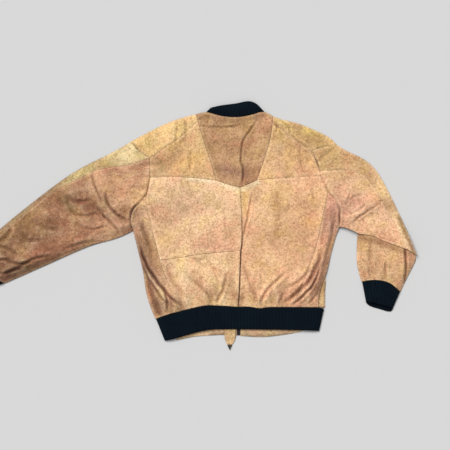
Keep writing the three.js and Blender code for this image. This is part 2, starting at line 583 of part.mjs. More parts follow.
const jacketBox = new THREE.Box3().setFromObject(jacket);
const middle = jacketBox.getCenter(new THREE.Vector3());
jacket.position.set(-middle.x, -middle.y, -jacketBox.min.z);
const part = new THREE.Group();
part.name = "leather_blouson";
part.add(jacket);
export default part;
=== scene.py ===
# %% [markdown]
# # A worn suede blouson, laid out back side up
# The jacket is two layers of leather that lie on each other, with knitted bands at the neck, the
# wrists and the waist. Every panel was cut and sewn on its own, so every panel is a piece here too.
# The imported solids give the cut, the place and the large folds. This script gives each panel its
# fine skin: small creases, sunk seams, stitches, and the look of old suede.

# %% Load the frame and keep its box
import math
import bmesh
import bpy
import numpy as np
from mathutils import Matrix, Vector, kdtree, noise
from mathutils.bvhtree import BVHTree


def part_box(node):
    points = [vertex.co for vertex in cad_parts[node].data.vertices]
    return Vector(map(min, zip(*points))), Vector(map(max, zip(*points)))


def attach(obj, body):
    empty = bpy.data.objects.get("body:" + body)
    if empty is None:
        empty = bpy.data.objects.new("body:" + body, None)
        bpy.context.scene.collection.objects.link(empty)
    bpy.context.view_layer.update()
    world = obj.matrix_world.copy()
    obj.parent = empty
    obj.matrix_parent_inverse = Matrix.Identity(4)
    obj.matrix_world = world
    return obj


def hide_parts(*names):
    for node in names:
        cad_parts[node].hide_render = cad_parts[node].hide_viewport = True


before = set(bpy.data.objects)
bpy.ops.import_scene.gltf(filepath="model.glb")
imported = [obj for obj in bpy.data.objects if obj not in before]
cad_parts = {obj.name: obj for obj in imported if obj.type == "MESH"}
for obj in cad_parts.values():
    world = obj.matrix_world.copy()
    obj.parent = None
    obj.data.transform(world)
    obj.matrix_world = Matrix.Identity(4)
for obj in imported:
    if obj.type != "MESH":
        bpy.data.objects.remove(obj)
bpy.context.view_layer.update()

# %% [markdown]
# ## Measuring on the garment
# A sewer measures from the centre-back line, in millimetres. The frame has its origin in the middle
# of the whole outline, so one small helper moves a place on the garment into the frame. A crease or
# a stain is then a line through a few such places, rounded into a smooth curve.

# %% Places and lines on the garment
MM = 0.001
CENTRE_BACK = np.array([142.5, 1.4])


def on_garment(*places):
    """Places in millimetres from the centre back, as points of the frame in metres."""
    return (np.array(places, float) + CENTRE_BACK) * MM


def smooth_line(places, steps=6):
    """A smooth line through a few places on the garment."""
    points = on_garment(*places)
    if len(points) < 3:
        return points
    ends = np.vstack([2 * points[0] - points[1], points, 2 * points[-1] - points[-2]])
    line = []
    for before, start, stop, after in zip(ends, ends[1:], ends[2:], ends[3:]):
        for part in np.arange(steps) / steps:
            line.append(0.5 * (2 * start + (stop - before) * part
                               + (2 * before - 5 * start + 4 * stop - after) * part ** 2
                               + (3 * start - before - 3 * stop + after) * part ** 3))
    return np.vstack(line + [points[-1]])


def measured(places, line):
    """Each place's distance to a line, how far along it that is from 0 to 1, and its side."""
    near = np.full(len(places), np.inf)
    along = np.zeros(len(places))
    side = np.zeros(len(places))
    lengths = np.hypot(*(line[1:] - line[:-1]).T)
    begun = 0.0
    for start, stop, length in zip(line, line[1:], lengths):
        step = stop - start
        part = np.clip((places - start) @ step / length ** 2, 0, 1)
        off = places - (start + part[:, None] * step)
        gap = np.hypot(off[:, 0], off[:, 1])
        closer = gap < near
        near[closer] = gap[closer]
        along[closer] = (begun + part * length)[closer]
        side[closer] = np.sign(step[0] * off[:, 1] - step[1] * off[:, 0])[closer]
        begun += length
    return near, along / begun, side


def hump(gap, width):
    """A smooth hump of height 1 that is nearly gone at twice its width."""
    return np.exp(-(gap / width) ** 2)


print("centre back at", [round(v, 4) for v in on_garment((0, 0))[0]])

# %% [markdown]
# ## From a cut panel to a fine skin
# A packed panel is a closed wall of triangles. Only its outer skin is wanted, so a copy is merged,
# the underside and the rim are taken off, and the triangles are joined back into four-sided faces.
# Subdivision then rounds the skin to a spacing of about two millimetres, fine enough for creases.
# Sculpting by hand could do the same, but would not follow a change in the cut.

# %% Skins
STEEP = 0.15  # faces that lean further than this belong to the rim
SAME_PLACE = 1e-6


def welded(node):
    """A merged copy of a node's mesh."""
    bm = bmesh.new()
    bm.from_mesh(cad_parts[node].data)
    bmesh.ops.remove_doubles(bm, verts=bm.verts, dist=SAME_PLACE)
    return bm


def keep_faces(bm, wanted):
    """Takes off the other faces and joins the triangles into quads, as the grid was laid."""
    bmesh.ops.delete(bm, geom=[f for f in bm.faces if not wanted(f)], context="FACES")
    bmesh.ops.join_triangles(bm, faces=bm.faces, angle_face_threshold=math.pi,
                             angle_shape_threshold=math.pi, topology_influence=2.0)


def as_piece(bm, name):
    """Makes an object of a mesh that is done."""
    mesh = bpy.data.meshes.new(name)
    bm.to_mesh(mesh)
    bm.free()
    piece = bpy.data.objects.new(name, mesh)
    bpy.context.scene.collection.objects.link(piece)
    return piece


def refined(piece, levels):
    """Rounds a piece by subdivision and keeps the finer mesh."""
    finer = piece.modifiers.new("finer", "SUBSURF")
    finer.levels = finer.render_levels = levels
    finer.boundary_smooth = "PRESERVE_CORNERS"
    graph = bpy.context.evaluated_depsgraph_get()
    mesh = bpy.data.meshes.new_from_object(piece.evaluated_get(graph))
    piece.modifiers.clear()
    piece.data = mesh
    return piece


print("faces that lean over", round(math.degrees(math.acos(STEEP))), "degrees belong to the rim")

# %% The panels of the back
LEATHER_LEVELS = 3
BACK_PANELS = {
    # the hide, and the ground colour as it is seen
    "yoke_centre": ("leather_brown", (200, 158, 117)),
    "yoke_left": ("leather_tan", (232, 189, 140)),
    "yoke_right": ("leather_tan", (236, 189, 144)),
    "shoulder_left": ("leather_yellow", (236, 197, 139)),
    "shoulder_right": ("leather_yellow", (236, 195, 142)),
    "back_left_upper": ("leather_tan", (250, 208, 165)),
    "back_left_lower": ("leather_tan", (246, 206, 161)),
    "back_right": ("leather_tan", (248, 201, 157)),
    "side_left": ("leather_rose", (236, 193, 153)),
    "side_right": ("leather_rose", (232, 182, 146)),
    "sleeve_left_top": ("leather_yellow", (226, 198, 152)),
    "sleeve_left_back": ("leather_rose", (218, 172, 136)),
    "sleeve_right_top": ("leather_yellow", (224, 185, 136)),
    "sleeve_right_back": ("leather_tan", (246, 200, 161)),
    "forearm_right_back": ("leather_tan", (224, 180, 137)),
}
CORNER_NEAR = 1.5 * MM  # a seam that ends here ends at this corner
cut_skins = {}
corners = []
for panel in BACK_PANELS:
    bm = welded(panel)
    keep_faces(bm, lambda face: face.normal.z > STEEP)
    corners += [v.co.copy() for v in bm.verts if len(v.link_faces) == 1]
    cut_skins[panel] = bm
skins = {}
for panel, bm in cut_skins.items():
    sharp = bm.verts.layers.float.new("crease_vert")
    for vertex in bm.verts:
        if vertex.is_boundary and any((vertex.co - c).xy.length < CORNER_NEAR for c in corners):
            vertex[sharp] = 1.0
    skins[panel] = refined(as_piece(bm, panel + "_leather"), LEATHER_LEVELS)
print("skins:", len(skins), "panels,", sum(len(s.data.vertices) for s in skins.values()), "vertices")

# %% [markdown]
# ## Sewn and free edges
# Panels share their seam lines, so an edge that lies on another panel's edge is sewn to it, and any
# other edge is free. The open edge of a skin is found where an edge of the mesh has only one face.
# Distances are taken as seen from above, with a search tree, because there are many places.

# %% Open edges
SEWN = 1.5 * MM  # edges closer than this are sewn to each other
TINY = 1e-9  # keeps a division from failing


def places_of(mesh):
    """All vertices of a mesh, as rows of x, y and z."""
    flat = np.empty(len(mesh.vertices) * 3, np.float32)
    mesh.vertices.foreach_get("co", flat)
    return flat.reshape(-1, 3).astype(float)


def rim_steps(mesh):
    """The vertices where each step along a skin's open edge starts and stops, as indices."""
    edge_of, start_of = np.empty((2, len(mesh.loops)), int)
    mesh.loops.foreach_get("edge_index", edge_of)
    mesh.loops.foreach_get("vertex_index", start_of)
    pairs = np.empty(len(mesh.edges) * 2, int)
    mesh.edges.foreach_get("vertices", pairs)
    is_open = np.bincount(edge_of, minlength=len(mesh.edges))[edge_of] == 1
    starts = start_of[is_open]
    return starts, pairs.reshape(-1, 2)[edge_of[is_open]].sum(axis=1) - starts


def edge_places(mesh):
    """The vertices on a skin's open edge, as indices."""
    return np.unique(rim_steps(mesh))


def outward_of(mesh, rim):
    """For each vertex of a skin's open edge, the way out of the panel, seen from above."""
    plan = places_of(mesh)[:, :2]
    starts, stops = rim_steps(mesh)
    step = plan[stops] - plan[starts]
    out = np.column_stack([step[:, 1], -step[:, 0]]) / np.hypot(*step.T)[:, None]
    outward = np.zeros((len(plan), 2))
    np.add.at(outward, starts, out)
    np.add.at(outward, stops, out)
    return outward[rim] / np.maximum(np.hypot(*outward[rim].T), TINY)[:, None]


def tree_of(points):
    """A search tree of some points, seen from above."""
    tree = kdtree.KDTree(len(points))
    for i, (x, y) in enumerate(points):
        tree.insert((x, y, 0), i)
    tree.balance()
    return tree


def gap_to(places, points):
    """Distance from each place to the nearest of some points, seen from above."""
    tree = tree_of(points)
    return np.array([tree.find((x, y, 0))[2] for x, y in places])


edges = {panel: edge_places(skin.data) for panel, skin in skins.items()}
outlines = {panel: places_of(skin.data)[edges[panel]][:, :2] for panel, skin in skins.items()}
free_edge = []
for panel, outline in outlines.items():
    others = np.vstack([o for other, o in outlines.items() if other != panel])
    free_edge.append(outline[gap_to(outline, others) > SEWN])
free_edge = np.vstack(free_edge)
print("open edges:", sum(len(rim) for rim in edges.values()), "places,", len(free_edge), "of them free")

# %% [markdown]
# ## Creases, laps and fullness
# Where the sleeves and the waist were gathered, the suede is set in soft folds. Each is a line
# measured on the garment with a depth and a width: a trough has raised shoulders and painted shade
# along it, a ridge has neither. Down the centre back the left half laps over the right one, and its
# shade and shadow are painted in too. A soft fullness lifts the leather away from its free edges, and
# slow noise keeps any part from being flat.

# %% The creases, in millimetres
CREASES = [
    # kind, depth, width and painted shade of each, and the places that it runs through
    # left sleeve
    ("trough", 5, 4, 0.6, (-428, 148), (-422, 120), (-412, 94), (-396, 62)),
    ("trough", 6, 4.5, 0.75, (-388, 100), (-384, 64), (-358, 34), (-316, 4)),
    ("trough", 5, 4.5, 0.5, (-418, 56), (-388, 20), (-358, -10), (-350, -30)),
    ("ridge", 3.5, 6, 0.0, (-414, 78), (-384, 38), (-347, 6), (-326, -14)),
    ("trough", 4, 6, 0.35, (-500, 84), (-470, 66), (-428, 72)),
    ("trough", 4, 6, 0.3, (-492, 40), (-452, 26), (-410, 34)),
    ("trough", 3, 5, 0.25, (-470, 0), (-430, -14), (-388, -6)),
    ("trough", 3, 7, 0.25, (-560, 60), (-536, 22), (-498, 4)),
    ("trough", 3, 6, 0.25, (-604, 16), (-560, -8), (-520, -10)),
    ("trough", 3, 5, 0.3, (-404, -46), (-452, -52), (-512, -72)),
    ("trough", 4, 5, 0.4, (-546, -88), (-600, -100), (-652, -128), (-690, -148)),
    ("trough", 3, 5, 0.3, (-640, -20), (-610, -44), (-566, -42)),
    ("trough", 4, 5, 0.45, (-712, -62), (-676, -66), (-640, -88)),
    ("trough", 4, 4.5, 0.5, (-716, -104), (-680, -100), (-644, -112), (-596, -106)),
    ("trough", 3, 4.5, 0.4, (-706, -140), (-668, -136), (-622, -118)),
    ("trough", 3, 6, 0.25, (-660, -2), (-676, -36), (-704, -50)),
    # left armhole
    ("trough", 4, 3.5, 0.8, (-290, 64), (-310, 46), (-318, 22), (-317, 2), (-310, -22)),
    ("trough", 2.5, 4, 0.25, (-262, 136), (-270, 90), (-296, 60)),
    # right sleeve
    ("trough", 2.5, 3.4, 0.42, (426, 82), (374, 42), (345, 23), (326, 4)),
    ("trough", 2, 3.5, 0.3, (318, 92), (306, 64)),
    ("trough", 1.5, 4, 0.12, (238, 128), (262, 88), (282, 64)),
    ("trough", 4, 3.5, 0.6, (282, 60), (289, 40), (289, 14), (286, -8)),
    ("trough", 1.5, 4, 0.12, (302, 54), (325, 78), (356, 86)),
    ("trough", 1.5, 4, 0.15, (296, 26), (334, 38), (368, 60)),
    ("trough", 2.5, 4.5, 0.3, (205, 118), (216, 66)),
    ("trough", 2.5, 5, 0.22, (385, -36), (365, -3), (352, 18)),
    ("trough", 3, 5, 0.25, (452, -62), (427, -16)),
    ("ridge", 2, 5, 0.0, (280, 138), (312, 140), (340, 142)),
    # left side of the body
    ("trough", 7, 5.5, 0.95, (-292, -52), (-276, -104), (-242, -158), (-204, -206), (-158, -242)),
    ("trough", 5, 4, 0.6, (-286, -108), (-262, -158), (-226, -212), (-200, -236)),
    ("trough", 5, 4.5, 0.7, (-222, -176), (-212, -214), (-208, -256)),
    ("trough", 4, 5, 0.35, (-268, -150), (-256, -200), (-232, -246)),
    ("trough", 4, 6, 0.3, (-288, 14), (-268, -40), (-250, -92)),
    ("trough", 3, 6, 0.2, (-214, -122), (-186, -172), (-150, -216)),
    ("ridge", 2.5, 7, 0.0, (-284, -92), (-250, -160), (-206, -222)),
    ("ridge", 2, 9, 0.0, (-262, 0), (-240, -70), (-220, -132)),
    # gathers above the waistband
    ("trough", 4, 5.5, 0.42, (-150, -150), (-106, -188), (-84, -214), (-74, -236)),
    ("trough", 4, 5, 0.42, (-36, -136), (-48, -188), (-62, -214), (-70, -236)),
    ("trough", 3, 4, 0.25, (-92, -100), (-70, -140), (-58, -186)),
    ("ridge", 3, 5, 0.0, (-104, -116), (-80, -160), (-74, -216)),
    ("trough", 2, 4, 0.15, (-44, 46), (-38, -50)),
    ("trough", 4, 5, 0.4, (12, -112), (28, -168), (44, -206), (50, -238)),
    ("trough", 4, 5.5, 0.42, (134, -138), (90, -176), (70, -206), (58, -238)),
    ("ridge", 3, 4, 0.0, (54, -190), (54, -236)),
    ("trough", 3, 5, 0.3, (128, -196), (110, -240)),
    # right side of the body
    ("trough", 5.5, 6, 0.75, (238, -66), (224, -112), (200, -160), (166, -196), (126, -226)),
    ("trough", 5, 4.5, 0.8, (232, -112), (216, -162), (188, -200), (148, -236)),
    ("trough", 3.5, 4.5, 0.4, (236, -158), (224, -200), (196, -232)),
    ("trough", 4, 6, 0.35, (252, 40), (242, -20), (236, -62)),
    ("trough", 3, 5, 0.3, (272, 18), (264, -40), (250, -96)),
    ("trough", 3, 5, 0.3, (204, -120), (176, -160), (128, -184)),
    ("ridge", 2.5, 6, 0.0, (240, -90), (222, -148), (190, -190)),
    ("ridge", 3, 8, 0.0, (214, -66), (204, -118), (184, -152)),
    # centre back
    ("trough", 3, 4, 0.28, (36, 92), (28, 44), (18, 0), (8, -46)),
    # yoke and shoulders
    ("trough", 3.5, 3.5, 0.7, (51, 306), (29, 273), (14, 252), (6, 225), (3, 188), (9, 154), (6, 112)),
    ("trough", 2.5, 3.5, 0.45, (-122, 288), (-58, 283), (4, 288)),
    ("trough", 3, 5, 0.35, (-157, 306), (-154, 246)),
    ("trough", 3, 5, 0.3, (-180, 296), (-186, 232)),
    ("trough", 3, 4, 0.4, (-346, 242), (-310, 235), (-293, 214)),
    ("trough", 2.5, 6, 0.15, (-139, 222), (-145, 150)),
    ("trough", 3, 6, 0.18, (282, 230), (246, 200), (220, 178)),
    ("trough", 3, 4, 0.35, (92, 302), (110, 281), (123, 254)),
    ("trough", 3, 4, 0.35, (114, 306), (139, 287), (146, 260)),
    ("trough", 2.5, 4, 0.3, (200, 282), (215, 262), (236, 250)),
    ("trough", 2, 2.6, 0.55, (212, 212), (222, 184), (232, 158)),
    ("trough", 2.5, 3, 0.5, (144, 264), (172, 240), (202, 220)),
    ("trough", 2.5, 3, 0.4, (104, 300), (108, 282), (104, 264)),
    ("ridge", 2.5, 4, 0.0, (112, 298), (118, 280), (114, 262)),
    ("trough", 2, 3, 0.35, (150, 292), (166, 276), (170, 262)),
    ("trough", 2.5, 6, 0.15, (172, 224), (184, 154)),
]
FOREARM_CREASES = [
    ("trough", 5, 4.5, 0.95, (476, -40), (478, -84), (481, -128), (474, -176)),
    ("trough", 4, 4, 0.4, (422, -104), (422, -162)),
    ("trough", 3, 6, 0.25, (383, -40), (377, -96), (386, -152)),
    ("trough", 3, 5, 0.3, (352, -96), (372, -120), (378, -160)),
]
print("creases:", len(CREASES) + len(FOREARM_CREASES))

# %% Small folds and waves
GATHER_RISE = 1.6  # makes up for the noise, which seldom reaches its full height
GATHER_STRAY = 60 * MM  # a small fold changes over this length
GATHER_LAYER = 5.5
SLOW_WAVES = 24, 3.1  # how many to the metre, and the layer of the noise that they are taken from
FINE_WAVES = 80, 7.7
SLOW_RISE = 1.3 * MM
FINE_RISE = 0.9 * MM
SLEEVE_FROM = -330, 0  # left of this place the fine waves are up to twice as high,
SLEEVE_RAMP = 80 * MM  # growing over this length
GATHERS = [
    # depth, reach and width of the small folds along a gathered seam
    (3.2, 70, 15, (-245, -273), (-212, -260), (-174, -250), (-107, -234), (-72, -233), (-6, -237),
     (58, -242), (151, -238), (228, -239)),
    (1.6, 34, 11, (352, -165), (374, -160), (403, -160), (434, -168), (465, -194)),
    (1.8, 44, 12, (-683, -170), (-702, -157), (-722, -130), (-734, -80), (-744, -62)),
    (1.0, 26, 10, (-99, 329), (-72, 320), (-44, 314), (-9, 312), (29, 318), (71, 331)),
    (1.8, 46, 16, (-262, 194), (-260, 138), (-273, 72), (-315, 32), (-310, -17)),
    (1.1, 42, 16, (206, 213), (231, 157), (255, 96), (289, 34), (286, -6)),
]


def waves(places, rate, layer):
    """Smooth noise at each place, about -1 to 1, with so many waves to the metre."""
    return np.array([noise.noise((x * rate, y * rate, layer)) for x, y in places])


def gathered(places):
    """Height of the small folds that run away from the gathered seams."""
    height = np.zeros(len(places))
    for depth, reach, width, *line in GATHERS:
        line = smooth_line(line, 3)
        length = np.hypot(*(line[1:] - line[:-1]).T).sum()
        gap, along, _ = measured(places, line)
        close = gap < 2 * reach * MM
        run = along[close] * length / (width * MM)
        stray = gap[close] / GATHER_STRAY
        fold = waves(zip(run, stray), 1, GATHER_LAYER)
        height[close] += GATHER_RISE * depth * MM * fold * hump(gap[close], reach * MM)
    return height


def rumple(places):
    """Slow and fine unevenness of soft leather, stronger on the stretched sleeve."""
    on_sleeve = np.clip((on_garment(SLEEVE_FROM)[0, 0] - places[:, 0]) / SLEEVE_RAMP, 0, 1)
    return SLOW_RISE * waves(places, *SLOW_WAVES) + FINE_RISE * (1 + on_sleeve) * waves(places, *FINE_WAVES)


print("gathered seams:", len(GATHERS))

# %% Pressed creases and the lap
END_FADE = 0.18  # part of a crease over which it fades at each end
FADE_CURVE = 0.7
WAVER = 2.2 * MM  # how far a crease strays from its line
WAVER_WAVES = (45, 11.3), (45, 23.9)  # the waves that lead it to the side and up
SHADE_NARROW = 1.4  # the painted shade of a crease is so much narrower than its trough
LAP_LINE = (-6, -237), (-3, -174), (-1, -125), (1, -75), (5, -44), (4, 29), (0, 108)
LAP_PLACES = 0, 0.5, 0.68, 1  # along that line from the hem,
LAP_GAPES = 1, 1, 0.5, 0.25  # and how far the lap gapes there
LAP_OVER = "back_left_upper", "back_left_lower"
LAP_UNDER = "back_right",
LAP_RISE = 3.5 * MM
LAP_REACH = 16 * MM
# width of the lap's painted shadow on the right half
LAP_SHADE = 4.2 * MM
LAP_EDGE_SHADE = 0.35
LAP_EDGE = 1.5 * MM


def pressed(places, creases):
    """Height and painted shade that the creases give to places seen from above."""
    height = np.zeros(len(places))
    dark = np.zeros(len(places))
    places = places + WAVER * np.column_stack([waves(places, *waver) for waver in WAVER_WAVES])
    for kind, depth, width, shade, *line in creases:
        gap, along, _ = measured(places, smooth_line(line))
        fade = np.clip(np.minimum(along, 1 - along) / END_FADE, 0, 1) ** FADE_CURVE
        depth, width = depth * MM, width * MM
        if kind == "trough":
            off = gap / width
            height -= depth * fade * (1 - off ** 2) * np.exp(-off ** 2 / 2)
            # painted shade along each trough, darkest at its bottom
            dark = np.maximum(dark, shade * fade * hump(SHADE_NARROW * off, 1))
        else:
            height += depth * fade * np.exp(-(gap / width) ** 2 / 2)
    return height, dark


def lapped(places, panel):
    """Height, and painted shade and shadow, along the centre back, where the left half lies over the right
    one.
    """
    gap, along, _ = measured(places, smooth_line(LAP_LINE))
    gapes = np.interp(along, LAP_PLACES, LAP_GAPES)
    if panel in LAP_OVER:
        height = LAP_RISE * gapes * np.exp(-gap / LAP_REACH)
        # painted shade along the edge of the lapping half
        return height, LAP_EDGE_SHADE * gapes * hump(gap, LAP_EDGE)
    if panel in LAP_UNDER:
        # the lap's shadow, painted on the right half
        return np.zeros(len(places)), gapes * np.exp(-(gap / LAP_SHADE) ** 4)
    return np.zeros(len(places)), np.zeros(len(places))


print("lap of the centre back:", LAP_LINE[-1][1] - LAP_LINE[0][1], "mm long")

# %% Shaping the skins
FULLNESS = 6 * MM  # lift of the leather well inside its free edges
FULL_REACH = 50 * MM
EASE_REACH = 12 * MM  # creases die away this close to a free edge
SEAM_SINK = 0.5 * MM
SEAM_WIDTH = 2.6 * MM
SEAM_ROLL = 0.6 * MM  # the turned allowance beside a seam
SEAM_ROLL_AT = 7 * MM
SEAM_ROLL_WIDTH = 3 * MM
# painted shade in the sunk seams
SEAM_SHADE = 0.06
SEAM_SHADE_WIDTH = 1.6 * MM
SEAM_CLOSE = 0.15 * MM  # sewn edges are drawn together by this
VALLEY_DEPTH = 3 * MM  # the painted shade in small folds is full at this depth
VALLEY_SHADE = 0.5
CREST_HEIGHT = 4 * MM  # the painted highlight on folds is full at this height
CREST_SHARE = 0.4  # part that the pressed creases have in it
painted_shade = {}
crest_highlight = {}
seam_gap = {}
for panel, skin in skins.items():
    points = places_of(skin.data)
    plan = points[:, :2]
    inner = gap_to(plan, free_edge)
    seam_gap[panel] = gap_to(plan, outlines[panel])
    lift, dark = pressed(plan, FOREARM_CREASES if panel.startswith("forearm") else CREASES)
    lap, lap_painted_shade = lapped(plan, panel)
    small = gathered(plan) + rumple(plan)
    ease = 1 - hump(inner, EASE_REACH)
    full = FULLNESS * (1 - hump(inner, FULL_REACH))
    sink = SEAM_SINK * hump(seam_gap[panel], SEAM_WIDTH)
    roll = SEAM_ROLL * hump(seam_gap[panel] - SEAM_ROLL_AT, SEAM_ROLL_WIDTH)
    points[:, 2] += full + ease * (lift + lap + small + roll - sink)
    # painted shade in the valleys of the small folds
    valley_shade = VALLEY_SHADE * np.clip(-small / VALLEY_DEPTH, 0, 1)
    # painted shade in the sunk seams
    seam = SEAM_SHADE * hump(seam_gap[panel], SEAM_SHADE_WIDTH)
    painted_shade[panel] = np.maximum.reduce([dark, lap_painted_shade, seam, valley_shade])
    # how high each place stands on its fold, for the painted highlight on crests
    crest_highlight[panel] = np.clip((small + CREST_SHARE * lift) / CREST_HEIGHT, 0, 1)
    rim = edges[panel]
    joined = rim[gap_to(plan[rim], free_edge) > SEWN]
    points[joined, :2] += SEAM_CLOSE * outward_of(skin.data, joined)
    skin.data.vertices.foreach_set("co", points.astype(np.float32).ravel())
    skin.data.update()
print("highest fold:", round(max(places_of(s.data)[:, 2].max() for s in skins.values()) / MM, 1), "mm")

# %% [markdown]
# ## Colour in dabs
# Old suede is never one colour. Each panel was cut from another part of a hide, and light, grease
# and rubbing have changed it since: the left sleeve is brown towards the wrist, the shoulders are
# ochre, the sides rosy. A real dyer would use a sponge, so the colours here are dabs: a colour, how
# strong, how wide, and where. A few dabs are painted shade, along the deep folds of the left side, at
# the elbow and under the forearm's tuck, and one is a painted highlight on a ridge between the side
# folds. They are kept on the skin itself, as a colour at every vertex.

# %% Dabs of colour, in millimetres on the garment
LIGHT_LEVEL = 1.13  # brightness of a white sheet under the lamps below


def dye(red, green, blue):
    """A colour as the eye sees it, 0 to 255, as the dye that gives it under these lamps."""
    seen = np.array([red, green, blue]) / 255
    linear = np.where(seen <= 0.04045, seen / 12.92, ((seen + 0.055) / 1.055) ** 2.4)
    return linear / LIGHT_LEVEL


